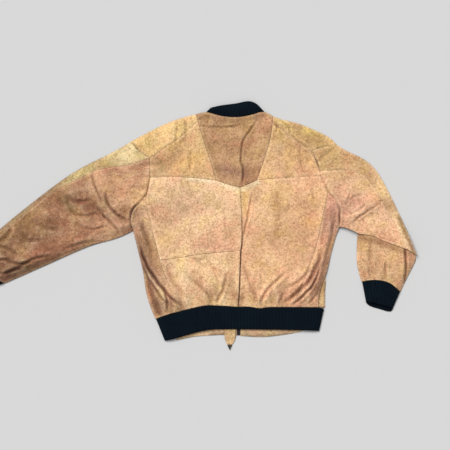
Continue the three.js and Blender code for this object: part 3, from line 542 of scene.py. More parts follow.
DABS = [
    # panel, colour, strength and reach of each, and the places that it runs through
    ("sleeve_left_back", (168, 124, 93), 0.9, 95, (-470, 60), (-520, 10), (-590, -40)),
    ("sleeve_left_back", (142, 103, 75), 0.9, 75, (-640, -50), (-700, -100)),
    ("sleeve_left_back", (128, 88, 62), 0.6, 13, (-415, -60), (-485, -72), (-557, -104)),
    ("sleeve_left_back", (104, 72, 50), 0.8, 20, (-590, -112), (-640, -130), (-690, -156)),
    ("sleeve_left_back", (188, 130, 100), 0.6, 22, (-470, -44), (-540, -72), (-600, -88)),
    ("sleeve_left_back", (204, 166, 136), 0.6, 16, (-440, 112), (-468, 96), (-486, 92)),
    ("sleeve_left_back", (158, 122, 78), 0.6, 26, (-690, -30), (-650, 4), (-600, 40)),
    ("sleeve_left_back", (122, 96, 54), 0.75, 19, (-502, 70), (-490, 48)),
    ("sleeve_left_back", (138, 92, 66), 0.7, 20, (-470, 72), (-424, 56)),
    ("sleeve_left_back", (214, 166, 130), 0.6, 40, (-350, 110), (-310, 130)),
    ("sleeve_left_top", (140, 106, 72), 0.95, 60, (-740, -65), (-640, 30), (-560, 92)),
    ("sleeve_left_top", (202, 180, 124), 0.8, 34, (-500, 134), (-446, 160)),
    ("sleeve_left_top", (176, 140, 86), 0.8, 20, (-406, 178), (-382, 172)),
    ("sleeve_left_top", (232, 212, 162), 0.8, 34, (-350, 196), (-310, 214)),
    ("sleeve_left_top", (104, 85, 52), 0.6, 9, (-720, -30), (-626, 48), (-487, 152), (-410, 195)),
    ("shoulder_left", (215, 186, 118), 0.5, 30, (-300, 238), (-270, 245)),
    ("shoulder_left", (240, 208, 152), 0.5, 30, (-220, 250), (-150, 285)),
    ("yoke_left", (192, 150, 110), 0.5, 28, (-255, 190), (-255, 150)),
    ("yoke_left", (229, 188, 136), 0.5, 45, (-160, 210), (-130, 170)),
    ("yoke_centre", (222, 178, 136), 0.8, 42, (66, 280), (54, 220), (44, 150)),
    ("yoke_centre", (150, 112, 82), 0.5, 20, (-100, 318), (-20, 306), (60, 318)),
    ("yoke_right", (190, 150, 106), 0.45, 32, (120, 260), (195, 205)),
    ("yoke_right", (232, 188, 144), 0.5, 40, (120, 180), (190, 165)),
    ("shoulder_right", (182, 146, 96), 0.55, 32, (170, 272), (230, 240)),
    ("shoulder_right", (226, 190, 142), 0.5, 22, (110, 296), (150, 285)),
    ("sleeve_right_top", (196, 160, 108), 0.5, 34, (250, 205), (320, 190)),
    ("sleeve_right_top", (255, 216, 170), 1.0, 75, (420, 80), (490, -60)),
    ("sleeve_right_back", (208, 160, 124), 0.5, 40, (275, 120), (300, 60)),
    ("back_left_upper", (240, 203, 164), 0.5, 55, (-170, 90), (-60, 60)),
    ("back_left_upper", (212, 168, 130), 0.5, 40, (-235, 30), (-215, -60)),
    ("back_left_lower", (240, 202, 146), 0.5, 18, (-160, -228), (-80, -222), (-20, -222)),
    ("back_left_lower", (198, 152, 120), 0.6, 26, (-214, -110), (-196, -180), (-164, -246)),
    ("back_left_lower", (248, 210, 162), 0.5, 34, (-120, -130), (-90, -160), (-40, -130)),
    # a painted highlight on the ridge between the side folds
    ("side_left", (226, 178, 146), 0.6, 12, (-252, -120), (-226, -180), (-190, -226)),
    ("side_left", (236, 196, 140), 0.6, 14, (-232, -262), (-214, -250)),
    ("back_right", (206, 156, 116), 0.55, 55, (190, 60), (165, -60)),
    ("back_right", (240, 200, 150), 0.5, 20, (20, -224), (70, -228), (130, -222)),
    ("back_right", (236, 194, 150), 0.5, 40, (60, 90), (90, 20)),
    # painted shade along the deep folds of the left side
    ("side_left", (144, 100, 74), 0.9, 26, (-292, -60), (-268, -150), (-236, -250)),
    ("side_right", (206, 152, 124), 0.55, 18, (262, 40), (246, -60), (214, -180)),
    ("back_right", (212, 162, 130), 0.6, 20, (230, -30), (216, -100), (180, -170), (110, -210)),
    ("back_right", (196, 146, 112), 0.55, 16, (196, -176), (150, -216)),
    ("forearm_right_back", (246, 194, 156), 0.85, 15, (498, -90), (494, -140), (475, -180)),
    ("forearm_right_back", (226, 182, 138), 0.5, 30, (430, -70), (440, -140)),
    ("back_left_upper", (198, 160, 128), 0.45, 38, (-185, 70), (-165, 45)),
    ("back_left_upper", (230, 174, 144), 0.5, 20, (-110, -55), (-30, -62)),
    ("back_right", (198, 150, 105), 0.5, 11, (102, 92), (110, 30), (105, -32)),
    ("back_right", (236, 172, 127), 0.5, 22, (209, 20), (205, 5)),
    ("back_right", (240, 194, 128), 0.6, 9, (15, 92), (16, 30)),
    ("yoke_right", (230, 164, 118), 0.5, 15, (206, 168), (200, 158)),
    ("yoke_right", (194, 168, 132), 0.4, 18, (116, 230), (112, 218)),
    ("yoke_left", (240, 192, 120), 0.5, 20, (-180, 174), (-116, 194)),
    ("yoke_left", (182, 162, 112), 0.45, 14, (-228, 182), (-222, 160)),
    ("yoke_centre", (170, 126, 110), 0.6, 20, (-52, 160), (9, 150)),
    ("side_left", (180, 137, 110), 0.7, 24, (-296, 40), (-276, -50)),
    ("side_right", (222, 172, 150), 0.7, 30, (275, 54), (262, 0)),
    ("sleeve_right_back", (218, 168, 144), 0.6, 30, (296, 50), (330, 60)),
    ("sleeve_right_back", (222, 182, 134), 0.7, 20, (240, 158), (330, 150), (372, 122), (405, 76)),
    ("sleeve_right_back", (240, 184, 142), 0.6, 20, (350, -14), (400, -26), (450, -44)),
    ("sleeve_right_top", (226, 182, 138), 0.6, 18, (300, 166), (360, 148), (398, 100), (430, 40)),
    # painted shade at the elbow, along the sleeve's outer edge
    ("sleeve_right_top", (128, 88, 56), 0.8, 8, (462, 22), (486, -36), (506, -86)),
    # painted shadow under the forearm's tuck
    ("forearm_right_back", (150, 104, 70), 0.6, 9, (346, -34), (415, -56), (487, -82)),
    ("forearm_right_back", (222, 170, 132), 0.6, 12, (500, -96), (490, -140)),
    ("back_left_lower", (206, 160, 122), 0.6, 16, (-110, -170), (-80, -205)),
    ("back_left_lower", (246, 214, 172), 0.6, 22, (-176, -130), (-150, -160)),
    ("back_left_lower", (208, 164, 124), 0.5, 14, (-30, -150), (-22, -200)),
    ("yoke_left", (236, 204, 142), 0.6, 16, (-118, 262), (-104, 226)),
    ("yoke_left", (196, 152, 112), 0.6, 18, (-176, 222), (-196, 190)),
    ("yoke_right", (196, 152, 114), 0.5, 14, (150, 200), (176, 186)),
    ("yoke_right", (232, 196, 142), 0.6, 12, (84, 262), (72, 200)),
    ("yoke_right", (232, 200, 118), 0.6, 12, (106, 286), (118, 262)),
    ("shoulder_right", (232, 200, 126), 0.7, 12, (112, 300), (140, 286)),
    ("shoulder_right", (230, 200, 124), 0.6, 12, (190, 278), (232, 262)),
]
print("dabs:", len(DABS))

# %% Dyeing the skins
# the pale tone of the painted highlights on fold crests and the ridge below the yoke, and of the paler strips
# beside seams and edges
PALE_TONE = dye(253, 227, 188)
PALE_SEAM_EDGE = 0.22
PALE_EDGE_AT = 3 * MM  # from the seam
PALE_EDGE_WIDTH = 2.4 * MM
CREST_HIGHLIGHT_SHARE = 0.45
# the line of the painted highlight on the ridge below the yoke
HIGHLIGHT_RIDGE_LINE = (-150, 137), (-72, 126), (-23, 110), (0, 104), (24, 111), (50, 125)
HIGHLIGHT_RIDGE_PANELS = "back_left_upper", "back_right"
HIGHLIGHT_RIDGE_AT = 4 * MM  # from that line
HIGHLIGHT_RIDGE_WIDTH = 5 * MM


def store(mesh, name, values):
    """Keeps a number or a colour at every vertex of a piece."""
    if values.ndim == 1:
        mesh.attributes.new(name, "FLOAT", "POINT").data.foreach_set("value", values.astype(np.float32))
        return
    rgba = np.hstack([values, np.ones((len(values), 1))]).astype(np.float32)
    mesh.attributes.new(name, "FLOAT_COLOR", "POINT").data.foreach_set("color", rgba.ravel())


def dabbed(plan, panel, ground):
    """The dye at each place of a panel: its ground colour with the dabs that are on it."""
    colour = np.tile(dye(*ground), (len(plan), 1))
    for where, tone, strength, reach, *line in DABS:
        if where == panel:
            gap = measured(plan, smooth_line(line))[0]
            colour += (dye(*tone) - colour) * (strength * hump(gap, reach * MM))[:, None]
    return colour


for panel, skin in skins.items():
    plan = places_of(skin.data)[:, :2]
    colour = dabbed(plan, panel, BACK_PANELS[panel][1])
    # a paler strip just inside each seam
    paling = PALE_SEAM_EDGE * hump(seam_gap[panel] - PALE_EDGE_AT, PALE_EDGE_WIDTH)
    # a painted highlight on the ridge just below the yoke
    if panel in HIGHLIGHT_RIDGE_PANELS:
        gap = measured(plan, smooth_line(HIGHLIGHT_RIDGE_LINE))[0]
        paling = np.maximum(paling, hump(gap - HIGHLIGHT_RIDGE_AT, HIGHLIGHT_RIDGE_WIDTH))
    # a painted highlight on the crests of folds
    paling = np.maximum(paling, CREST_HIGHLIGHT_SHARE * crest_highlight[panel])
    colour += (PALE_TONE - colour) * paling[:, None]
    store(skin.data, "tint", colour)
    # the painted shade of creases, seams, fold valleys and the lap
    store(skin.data, "crease", painted_shade[panel])
print("dyed:", len(BACK_PANELS), "panels")

# %% [markdown]
# ## The lower layer
# Under the back lie the fronts and the undersides of the sleeves. They rest flat on the surface and
# show only at the right hem and below the knitted band. Each is its outline, cut into small squares
# by parallel planes so that it can take a slight wave where it isn't pressed down.

# %% Fronts, sleeve undersides and hem bands
FRONT_PANELS = {
    "front_left": ("leather_yellow", (227, 192, 143)),
    "front_right": ("leather_yellow", (229, 194, 145)),
    "sleeve_left_front": ("leather_rose", (178, 134, 103)),
    "sleeve_right_front": ("leather_tan", (220, 176, 138)),
    "forearm_right_front": ("leather_tan", (210, 165, 125)),
    "hem_band_left": ("leather_yellow", (216, 184, 146)),
    "hem_band_right": ("leather_yellow", (214, 182, 144)),
}
FACES_UP = 0.5  # the flat upper skin of a panel, and not its rim
ONE_PLANE = 0.02  # faces that turn by less than this, in radians, are joined
SQUARE = 14 * MM
WAVE = 0.25 * MM
FRONT_WAVES = 60, 1.3
FRONT_PALE_EDGE = 0.15
FRONT_PALE_WIDTH = 3 * MM


def cut_in_squares(bm, low, high):
    """Cuts a flat skin along planes that stand a square apart, first across and then along."""
    for axis, normal in enumerate((Vector((1, 0, 0)), Vector((0, 1, 0)))):
        for step in range(1, int((high[axis] - low[axis]) / SQUARE) + 1):
            place = Vector(low) + normal * (step * SQUARE)
            bmesh.ops.bisect_plane(bm, geom=bm.verts[:] + bm.edges[:] + bm.faces[:], dist=SAME_PLACE,
                                   plane_co=place, plane_no=normal)


for panel, (_, ground) in FRONT_PANELS.items():
    bm = welded(panel)
    bmesh.ops.delete(bm, geom=[f for f in bm.faces if f.normal.z < FACES_UP], context="FACES")
    bmesh.ops.dissolve_limit(bm, angle_limit=ONE_PLANE, use_dissolve_boundaries=False, verts=bm.verts,
                             edges=bm.edges, delimit=set())
    cut_in_squares(bm, *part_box(panel))
    skin = as_piece(bm, panel + "_leather")
    points = places_of(skin.data)
    plan = points[:, :2]
    points[:, 2] += WAVE * waves(plan, *FRONT_WAVES) - WAVE
    skin.data.vertices.foreach_set("co", points.astype(np.float32).ravel())
    gap = gap_to(plan, plan[edge_places(skin.data)])
    colour = dabbed(plan, panel, ground)
    # paler along the outline
    paling = FRONT_PALE_EDGE * hump(gap, FRONT_PALE_WIDTH)
    store(skin.data, "tint", colour + (PALE_TONE - colour) * paling[:, None])
    store(skin.data, "crease", np.zeros(len(plan)))
    skins[panel] = skin
print("lower layer:", len(FRONT_PANELS), "panels")

# %% [markdown]
# ## The hem tab
# A short strap of the same leather hangs from the front waistband and ends in a metal tip. It is
# rounded like the other panels, but has no creases of its own.

# %% Hem tab
TAB_DYE = dye(221, 190, 142)
TAB_EDGE_DARK = 0.25
TAB_EDGE_WIDTH = 1.5 * MM
bm = welded("hem_tab")
keep_faces(bm, lambda face: face.normal.z > STEEP)
tab = refined(as_piece(bm, "hem_tab_leather"), LEATHER_LEVELS)
tab_places = places_of(tab.data)[:, :2]
tab_gap = gap_to(tab_places, tab_places[edge_places(tab.data)])
store(tab.data, "tint", TAB_DYE * (1 - TAB_EDGE_DARK * hump(tab_gap, TAB_EDGE_WIDTH))[:, None])
store(tab.data, "crease", np.zeros(len(tab_places)))
skins["hem_tab"] = tab
print("hem tab:", len(tab_places), "vertices")

# %% [markdown]
# ## The look of old suede
# Suede is the split side of the hide: matt, with a short nap, pores that hold dirt, paler scuffs
# and slow stains. The dye comes from the skin's own colour, and seven layers of noise break it up
# from stains as wide as a hand down to single pores. Creases, seams, fold valleys and the lap are
# darkened by painted shade. A painted picture would need a flat layout of every panel; noise in
# space needs none and fits at any scale.

# %% A short way to write finishes
NODE_STEP = 190


class Finish:
    """A material and a short way to add nodes to it."""

    def __init__(self, name):
        self.material = bpy.data.materials.new(name)
        self.material.use_nodes = True
        self.tree = self.material.node_tree
        self.surface = self.tree.nodes["Principled BSDF"]
        self.place = self.add("ShaderNodeTexCoord").outputs["Object"]

    def add(self, kind, **settings):
        """A new node, set down to the left of the others."""
        node = self.tree.nodes.new(kind)
        node.location = (-NODE_STEP * len(self.tree.nodes), 0)
        for name, value in settings.items():
            setattr(node, name, value)
        return node

    def join(self, output, socket):
        """Links one node's output to another's socket."""
        self.tree.links.new(output, socket)

    def even(self, amounts):
        """Sets what is the same all over the surface."""
        for name, amount in amounts.items():
            self.surface.inputs[name].default_value = amount

    def moved(self, shift=(0, 0, 0), turn=0.0):
        """Shifts the pattern and turns it flat on the table."""
        node = self.add("ShaderNodeMapping")
        node.inputs["Location"].default_value = shift
        node.inputs["Rotation"].default_value = (0, 0, turn)
        self.join(self.place, node.inputs["Vector"])
        self.place = node.outputs["Vector"]

    def grain(self, scale, detail, rough, twist=0.0):
        """Noise with so many waves to the metre."""
        node = self.add("ShaderNodeTexNoise")
        node.inputs["Scale"].default_value = scale
        node.inputs["Detail"].default_value = detail
        node.inputs["Roughness"].default_value = rough
        node.inputs["Distortion"].default_value = twist
        self.join(self.place, node.inputs["Vector"])
        return node.outputs["Fac"]

    def ramp(self, value, low, high, to_low=0.0, to_high=1.0):
        """A value stretched from one range to another, and held at its ends."""
        node = self.add("ShaderNodeMapRange", clamp=True)
        ends = {"From Min": low, "From Max": high, "To Min": to_low, "To Max": to_high}
        for name, number in ends.items():
            node.inputs[name].default_value = number
        self.join(value, node.inputs["Value"])
        return node.outputs["Result"]

    def kept(self, name, colour=False):
        """What a piece keeps at its vertices under a name."""
        node = self.add("ShaderNodeAttribute", attribute_name=name)
        return node.outputs["Color" if colour else "Fac"]

    def sum(self, one, other, how="ADD"):
        """Two values or numbers added, or joined in another way."""
        node = self.add("ShaderNodeMath", operation=how)
        for socket, value in zip(node.inputs, (one, other)):
            if isinstance(value, (int, float)):
                socket.default_value = value
            else:
                self.join(value, socket)
        return node.outputs["Value"]

    def tinted(self, colour, factor, tone, how="MIX"):
        """The colour mixed towards a tone, or multiplied by it, as far as the factor says."""
        node = self.add("ShaderNodeMix", data_type="RGBA", blend_type=how)
        self.join(factor, node.inputs["Factor"])
        self.join(colour, node.inputs["A"])
        node.inputs["B"].default_value = (*tone, 1)
        return node.outputs["Result"]

    def between(self, factor, low, high):
        """A colour between two others, as far as the factor says."""
        node = self.add("ShaderNodeMix", data_type="RGBA")
        self.join(factor, node.inputs["Factor"])
        node.inputs["A"].default_value = (*low, 1)
        node.inputs["B"].default_value = (*high, 1)
        return node.outputs["Result"]

    def raised(self, height, depth):
        """Fine relief in the shading, so many metres deep."""
        node = self.add("ShaderNodeBump")
        node.inputs["Strength"].default_value = 1.0
        node.inputs["Distance"].default_value = depth
        self.join(height, node.inputs["Height"])
        self.join(node.outputs["Normal"], self.surface.inputs["Normal"])


# %% Suede
HIDE_NOISE = {
    # waves to the metre, detail, roughness and twist
    "stain": (13, 4, 0.55, 0.4),
    "blush": (19, 2, 0.55, 0.5),
    "cloud": (62, 3, 0.6, 0.6),
    "pebble": (185, 4, 0.66, 0.35),
    "speck": (270, 3, 0.65),
    "pore": (620, 2, 0.6),
    "scuff": (95, 4, 0.7, 0.4),
}
HIDE_MARKS = [
    # noise, where the mark begins and where it is full, its strength, and the colour it multiplies by
    ("stain", 0.48, 0.68, 1.0, (0.70, 0.62, 0.54)),
    ("stain", 0.5, 0.32, 1.0, (1.16, 1.13, 1.06)),
    ("blush", 0.5, 0.68, 0.8, (1.04, 0.90, 0.90)),
    ("blush", 0.5, 0.32, 0.8, (1.0, 1.02, 0.82)),
    ("pebble", 0.5, 0.34, 1.0, (0.66, 0.58, 0.50)),
    ("pebble", 0.5, 0.66, 1.0, (1.23, 1.23, 1.23)),
    ("scuff", 0.56, 0.72, 0.45, (1.25, 1.24, 1.2)),
    ("pore", 0.5, 0.75, 0.5, (0.72, 0.66, 0.6)),
]
SPECK_TONE = 0.52, 0.42, 0.35
CREASE_SHADE_TONE = 0.22, 0.14, 0.10
NAP_DEPTH = 0.85 * MM
PEBBLE_SHARE, PORE_SHARE = 2.0, 0.5  # of that depth


def suede(name, shift, pores, stains):
    """One hide: shift moves its pattern; pores and stains are how strongly they show."""
    finish = Finish(name)
    finish.moved(shift)
    noises = {mark: finish.grain(*settings) for mark, settings in HIDE_NOISE.items()}
    colour = finish.kept("tint", colour=True)
    for mark, begins, full, strength, tone in HIDE_MARKS:
        strength *= stains if mark == "stain" else 1
        colour = finish.tinted(colour, finish.ramp(noises[mark], begins, full, 0, strength), tone, "MULTIPLY")
    dense = finish.sum(finish.ramp(noises["cloud"], 0.35, 0.65, 0.2, 1), pores, "MULTIPLY")
    specks = finish.sum(finish.ramp(noises["speck"], 0.5, 0.62), dense, "MULTIPLY")
    colour = finish.tinted(colour, specks, SPECK_TONE, "MULTIPLY")
    # painted shade: darker along creases, seams, fold valleys and the lap
    colour = finish.tinted(colour, finish.kept("crease"), CREASE_SHADE_TONE, "MULTIPLY")
    finish.join(colour, finish.surface.inputs["Base Color"])
    finish.join(finish.ramp(noises["scuff"], 0.4, 0.75, 0.93, 0.74), finish.surface.inputs["Roughness"])
    nap = finish.sum(finish.sum(noises["pebble"], PEBBLE_SHARE, "MULTIPLY"),
                     finish.sum(noises["pore"], PORE_SHARE, "MULTIPLY"))
    finish.raised(nap, NAP_DEPTH)
    finish.even({"Specular IOR Level": 0.25, "Sheen Weight": 0.08, "Sheen Roughness": 0.6})
    return finish.material


leather = {
    "leather_tan": suede("suede_tan", (0.0, 0.0, 0.0), 0.55, 0.6),
    "leather_rose": suede("suede_rose", (1.3, 0.4, 0.0), 0.75, 1.0),
    "leather_yellow": suede("suede_yellow", (2.1, 3.2, 0.0), 0.5, 0.8),
    "leather_brown": suede("suede_brown", (3.7, 1.9, 0.0), 0.8, 0.8),
}
print("hides:", ", ".join(leather))

# %% [markdown]
# ## Finishing the leather pieces
# Every skin becomes a thin shell: the wall grows inwards from the outside, and the rim closes it at
# the cut edge. The size that each sheet of cloth or leather was cut to is also worked out and printed.
# That size is taken from its solid: the smallest rectangle round the outline, and the area of the skin.

# %% Walls, riding and cut sizes
WALL = 1.6 * MM
THIN_WALL = 0.05  # least share of a wall where it is made thin
TURN_STEP = 2  # degrees between the rectangles that are tried
CM2 = 1e-4


def cut_rectangle(plan):
    """Width and length of the smallest rectangle that holds an outline."""
    best = None
    for angle in np.radians(np.arange(0, 90, TURN_STEP)):
        turn = np.array([[math.cos(angle), -math.sin(angle)], [math.sin(angle), math.cos(angle)]])
        size = np.ptp(plan @ turn, axis=0)
        if best is None or size[0] * size[1] < best[0] * best[1]:
            best = size
    return sorted(float(v) for v in best)


def skin_area(node):
    """The area of the outer skin of a panel's solid."""
    return sum(p.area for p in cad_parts[node].data.polygons if p.normal.z > STEEP)


def shelled(piece, wall):
    """Grows the wall inwards, thinner where the piece says so."""
    shell = piece.modifiers.new("wall", "SOLIDIFY")
    shell.thickness = wall
    shell.offset = -1
    if "wall" in piece.vertex_groups:
        shell.vertex_group = "wall"
        shell.thickness_vertex_group = THIN_WALL
    for face in piece.data.polygons:
        face.use_smooth = True


cuts = {}
SLOTS = {panel: slot for panel, (slot, _) in {**BACK_PANELS, **FRONT_PANELS}.items()}
SLOTS["hem_tab"] = "leather_yellow"
for panel, skin in skins.items():
    shelled(skin, WALL)
    skin.data.materials.append(leather[SLOTS[panel]])
    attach(skin, "root")
    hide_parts(panel)
    width, length = cut_rectangle(places_of(skin.data)[:, :2])
    area = min(skin_area(panel), width * length)
    cuts[panel] = (width, length, area)
for panel, (width, length, area) in cuts.items():
    print(f"cut {panel}: {width / MM:.0f} x {length / MM:.0f} mm, {area / CM2:.0f} cm2")

# %% [markdown]
# ## Knitted bands
# The collar, cuffs and waistband are ribbed knit: raised columns side by side, all running across
# the band. Each band is wrapped round a fold, so both its upper and its lower skin are outside. The
# fold is rounded by a bevel and the skin by subdivision, then it is cut finely along its length only,
# and the grooves between the columns are pushed in. A guide line along each side of the band says
# where each column is. Near the fold the wall is thin, because a full one would cross itself there.

# %% Ribs
RIB_PITCH = 4.2 * MM
RIB_DEPTH = 0.65 * MM
RIB_WALL = 1.4 * MM
RIB_LEVELS = 2
RIB_CUTS = 3
RIB_TOP = 7.5 * MM  # each face of the upper outer skin reaches above this
RIB_GROUND = 1.0 * MM  # each face of the lower outer skin reaches below this
RIB_LEAN = 0.3  # faces steeper than this belong to the rim
RIB_ALONG = 0.6  # an edge that runs along the band by more than this share of its length is cut
RIB_FOLD = 2.5 * MM  # the round of a band where it turns under
FOLD_STEPS = 12  # places along each edge of that fold
FOLD_THIN = 3 * MM  # up to this distance from the fold the wall is thin,
FOLD_FULL = 14 * MM  # and from this distance on it is full
RIB_FLAT = 0.9  # columns fade where the band leans more than this, as it turns under
COLLAR_UNDER = (-93, 335), (-73, 300), (-43, 276), (-9, 268), (1, 268), (28, 277), (51, 302), (65, 337)
KNITS = {
    # height of the band, and the guide along its upper side
    "collar": (42, (-93, 335), (-44, 331), (-9, 331), (26, 339), (65, 337)),
    "hem_rib": (66, (-236, -304), (-180, -290), (-120, -274), (-60, -268), (0, -269), (140, -271),
                (242, -274)),
    "cuff_left": (62, (-773, -84), (-746, -132), (-712, -184)),
    "cuff_right": (60, (354, -193), (400, -197), (458, -219)),
}
print("bands:", ", ".join(KNITS))

# %% Columns
def along_band(bm, guides):
    """How far along and across its band each vertex is, by the guide of its own side."""
    bm.normal_update()
    plan = np.array([vertex.co[:2] for vertex in bm.verts])
    on_top = np.array([vertex.normal.z > 0 for vertex in bm.verts])
    sides = []
    for guide in guides:
        gap, share, side = measured(plan, guide)
        sides.append((share * np.hypot(*(guide[1:] - guide[:-1]).T).sum(), gap * side))
    return [np.where(on_top, over, under) for over, under in zip(*sides)]


def thinned(piece, fold_line):
    """Keeps the share of the wall that a band has at each vertex, which is small near its fold."""
    wall = piece.vertex_groups.new(name="wall")
    from_fold = gap_to(places_of(piece.data)[:, :2], fold_line)
    for index, share in enumerate(np.clip((from_fold - FOLD_THIN) / (FOLD_FULL - FOLD_THIN), 0, 1)):
        wall.add([index], float(share), "REPLACE")


def ribbed(node, guides):
    """A band's outer skin with its knitted columns."""
    bm = welded(node)
    keep_faces(bm, lambda face: (face.normal.z > RIB_LEAN and max(v.co.z for v in face.verts) > RIB_TOP)
               or (face.normal.z < -RIB_LEAN and min(v.co.z for v in face.verts) < RIB_GROUND))
    fold = [edge for edge in bm.edges if all(RIB_GROUND < v.co.z < RIB_TOP for v in edge.verts)]
    fold_line = [edge.verts[0].co.lerp(edge.verts[1].co, step / FOLD_STEPS).xy
                 for edge in fold for step in range(FOLD_STEPS + 1)]
    bmesh.ops.bevel(bm, geom=fold, offset=RIB_FOLD, offset_type="OFFSET", affect="EDGES", segments=2,
                    profile=0.5, clamp_overlap=True, material=-1)
    piece = refined(as_piece(bm, node + "_knit"), RIB_LEVELS)
    bm = bmesh.new()
    bm.from_mesh(piece.data)
    place = along_band(bm, guides)[0]
    lengthwise = [e for e in bm.edges
                  if abs(place[e.verts[0].index] - place[e.verts[1].index]) > RIB_ALONG * e.calc_length()]
    bmesh.ops.subdivide_edges(bm, edges=lengthwise, cuts=RIB_CUTS, use_grid_fill=True)
    # the cut can leave points along a short edge that nothing else meets
    needless = [v for v in bm.verts if len(v.link_edges) == 2 and not v.is_boundary]
    bmesh.ops.dissolve_verts(bm, verts=needless)
    bm.verts.index_update()
    along, across = along_band(bm, guides)
    column = np.cos(2 * math.pi * along / RIB_PITCH)
    for vertex, height in zip(bm.verts, column):
        lies_flat = min(1, abs(vertex.normal.z) / RIB_FLAT) ** 2
        vertex.co += vertex.normal * (RIB_DEPTH * lies_flat * (height - 1) / 2)
    bm.to_mesh(piece.data)
    bm.free()
    store(piece.data, "across", across)
    store(piece.data, "column", column)
    thinned(piece, fold_line)
    return piece


knits = {}
for node, (_, *guide) in KNITS.items():
    under = COLLAR_UNDER if node == "collar" else guide
    knits[node] = ribbed(node, (smooth_line(guide), smooth_line(under)))
print("knit:", {node: len(piece.data.polygons) for node, piece in knits.items()})

# %% [markdown]
# The yarn is a blue black, painted darker in the grooves between the ribs as shade and lighter on
# their crests as a highlight, and greyed a little in patches. Across each column the stitches lie in
# rows, which the band's own measures give, so the rows follow every bend.

# %% Yarn
STITCH_ROW = 1.7 * MM
GROOVE_SHADE_TONE = 0.0008, 0.0023, 0.0048
CREST_HIGHLIGHT_TONE = 0.0044, 0.0105, 0.0175
GREYED = 1.7, 1.6, 1.45
LINT_TONE = 0.03, 0.036, 0.044
YARN_DEPTH = 0.35 * MM


def yarn():
    """The finish of the knitted bands."""
    finish = Finish("ribbed_knit")
    lint = finish.grain(260, 3, 0.7)
    paling = finish.grain(22, 3, 0.6)
    rows = finish.sum(finish.sum(finish.kept("across"), 2 * math.pi / STITCH_ROW, "MULTIPLY"), 0, "SINE")
    # painted shade in the grooves between the ribs and a painted highlight on their crests
    crest_highlight = finish.ramp(finish.kept("column"), -0.6, 1.0)
    colour = finish.between(crest_highlight, GROOVE_SHADE_TONE, CREST_HIGHLIGHT_TONE)
    colour = finish.tinted(colour, finish.ramp(paling, 0.45, 0.75, 0, 0.6), GREYED, "MULTIPLY")
    colour = finish.tinted(colour, finish.ramp(lint, 0.68, 0.8, 0, 0.2), LINT_TONE)
    finish.join(colour, finish.surface.inputs["Base Color"])
    finish.raised(finish.sum(finish.sum(rows, 0.5, "MULTIPLY"), lint), YARN_DEPTH)
    finish.even({"Roughness": 0.92, "Specular IOR Level": 0.06})
    finish.even({"Sheen Weight": 0.015, "Sheen Roughness": 0.5})
    return finish.material


ribbed_knit = yarn()
for node, piece in knits.items():
    shelled(piece, RIB_WALL)
    piece.data.materials.append(ribbed_knit)
    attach(piece, "root")
    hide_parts(node)
    height = KNITS[node][0] * MM
    length = sum(p.area for p in piece.data.polygons) / height
    print(f"knit {node}: {height / MM:.0f} x {length / MM:.0f} mm")

# %% [markdown]
# ## Zip, slider and tab tip
# The zip closes the front, so it lies under the jacket, and only its lower end shows below the hem.
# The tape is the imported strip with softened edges, and the metal chain on it is one small tooth, made
# once and set down over and over. The slider and the tab's tip are small castings: their packed
# shapes are right, so copies with broken edges stand for them.

# %% Tape and castings
EDGE_BREAK = 0.35 * MM
SHARP = 0.5  # edges that turn by more than this, in radians, are broken
WEAVE_TURN = math.radians(45)
WEAVE_RATE = 420


def softened(node, name):
    """A copy of a solid with its sharp edges broken."""
    bm = welded(node)
    bmesh.ops.dissolve_limit(bm, angle_limit=ONE_PLANE, use_dissolve_boundaries=False, verts=bm.verts,
                             edges=bm.edges, delimit=set())
    sharp = [e for e in bm.edges if e.calc_face_angle(0) > SHARP]
    bmesh.ops.bevel(bm, geom=sharp, offset=EDGE_BREAK, segments=2, profile=0.5, material=-1, affect="EDGES")
    bmesh.ops.recalc_face_normals(bm, faces=bm.faces)
    return as_piece(bm, name)


def plain_metal():
    """Dark metal, rubbed bright in places."""
    finish = Finish("dark_metal")
    rub = finish.grain(140, 4, 0.7)
    dust = finish.grain(45, 2, 0.5)
    colour = finish.between(finish.ramp(rub, 0.35, 0.7), (0.035, 0.030, 0.027), (0.15, 0.125, 0.10))
    finish.join(colour, finish.surface.inputs["Base Color"])
    finish.join(finish.ramp(dust, 0.3, 0.7, 0.32, 0.55), finish.surface.inputs["Roughness"])
    finish.raised(rub, 0.15 * MM)
    finish.even({"Metallic": 1.0})
    return finish.material


def woven_tape():
    """The zip's dark tape, woven on the bias."""
    finish = Finish("zip_tape")
    finish.moved(turn=WEAVE_TURN)
    weave = finish.add("ShaderNodeTexWave", wave_type="BANDS", bands_direction="X")
    weave.inputs["Scale"].default_value = WEAVE_RATE
    finish.join(finish.place, weave.inputs["Vector"])
    colour = finish.between(weave.outputs["Fac"], (0.006, 0.006, 0.007), (0.022, 0.021, 0.023))
    finish.join(colour, finish.surface.inputs["Base Color"])
    finish.raised(weave.outputs["Fac"], 0.2 * MM)
    finish.even({"Roughness": 0.9})
    return finish.material


trim = {"dark_metal": plain_metal(), "zip_tape": woven_tape()}
for node, name, slot in (("zip", "zip_tape", "zip_tape"), ("zip_slider", "zip_slider_cast", "dark_metal"),
                         ("hem_tab_tip", "hem_tab_tip_cast", "dark_metal")):
    piece = softened(node, name)
    piece.data.materials.append(trim[slot])
    for face in piece.data.polygons:
        face.use_smooth = False
    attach(piece, "root")
    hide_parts(node)

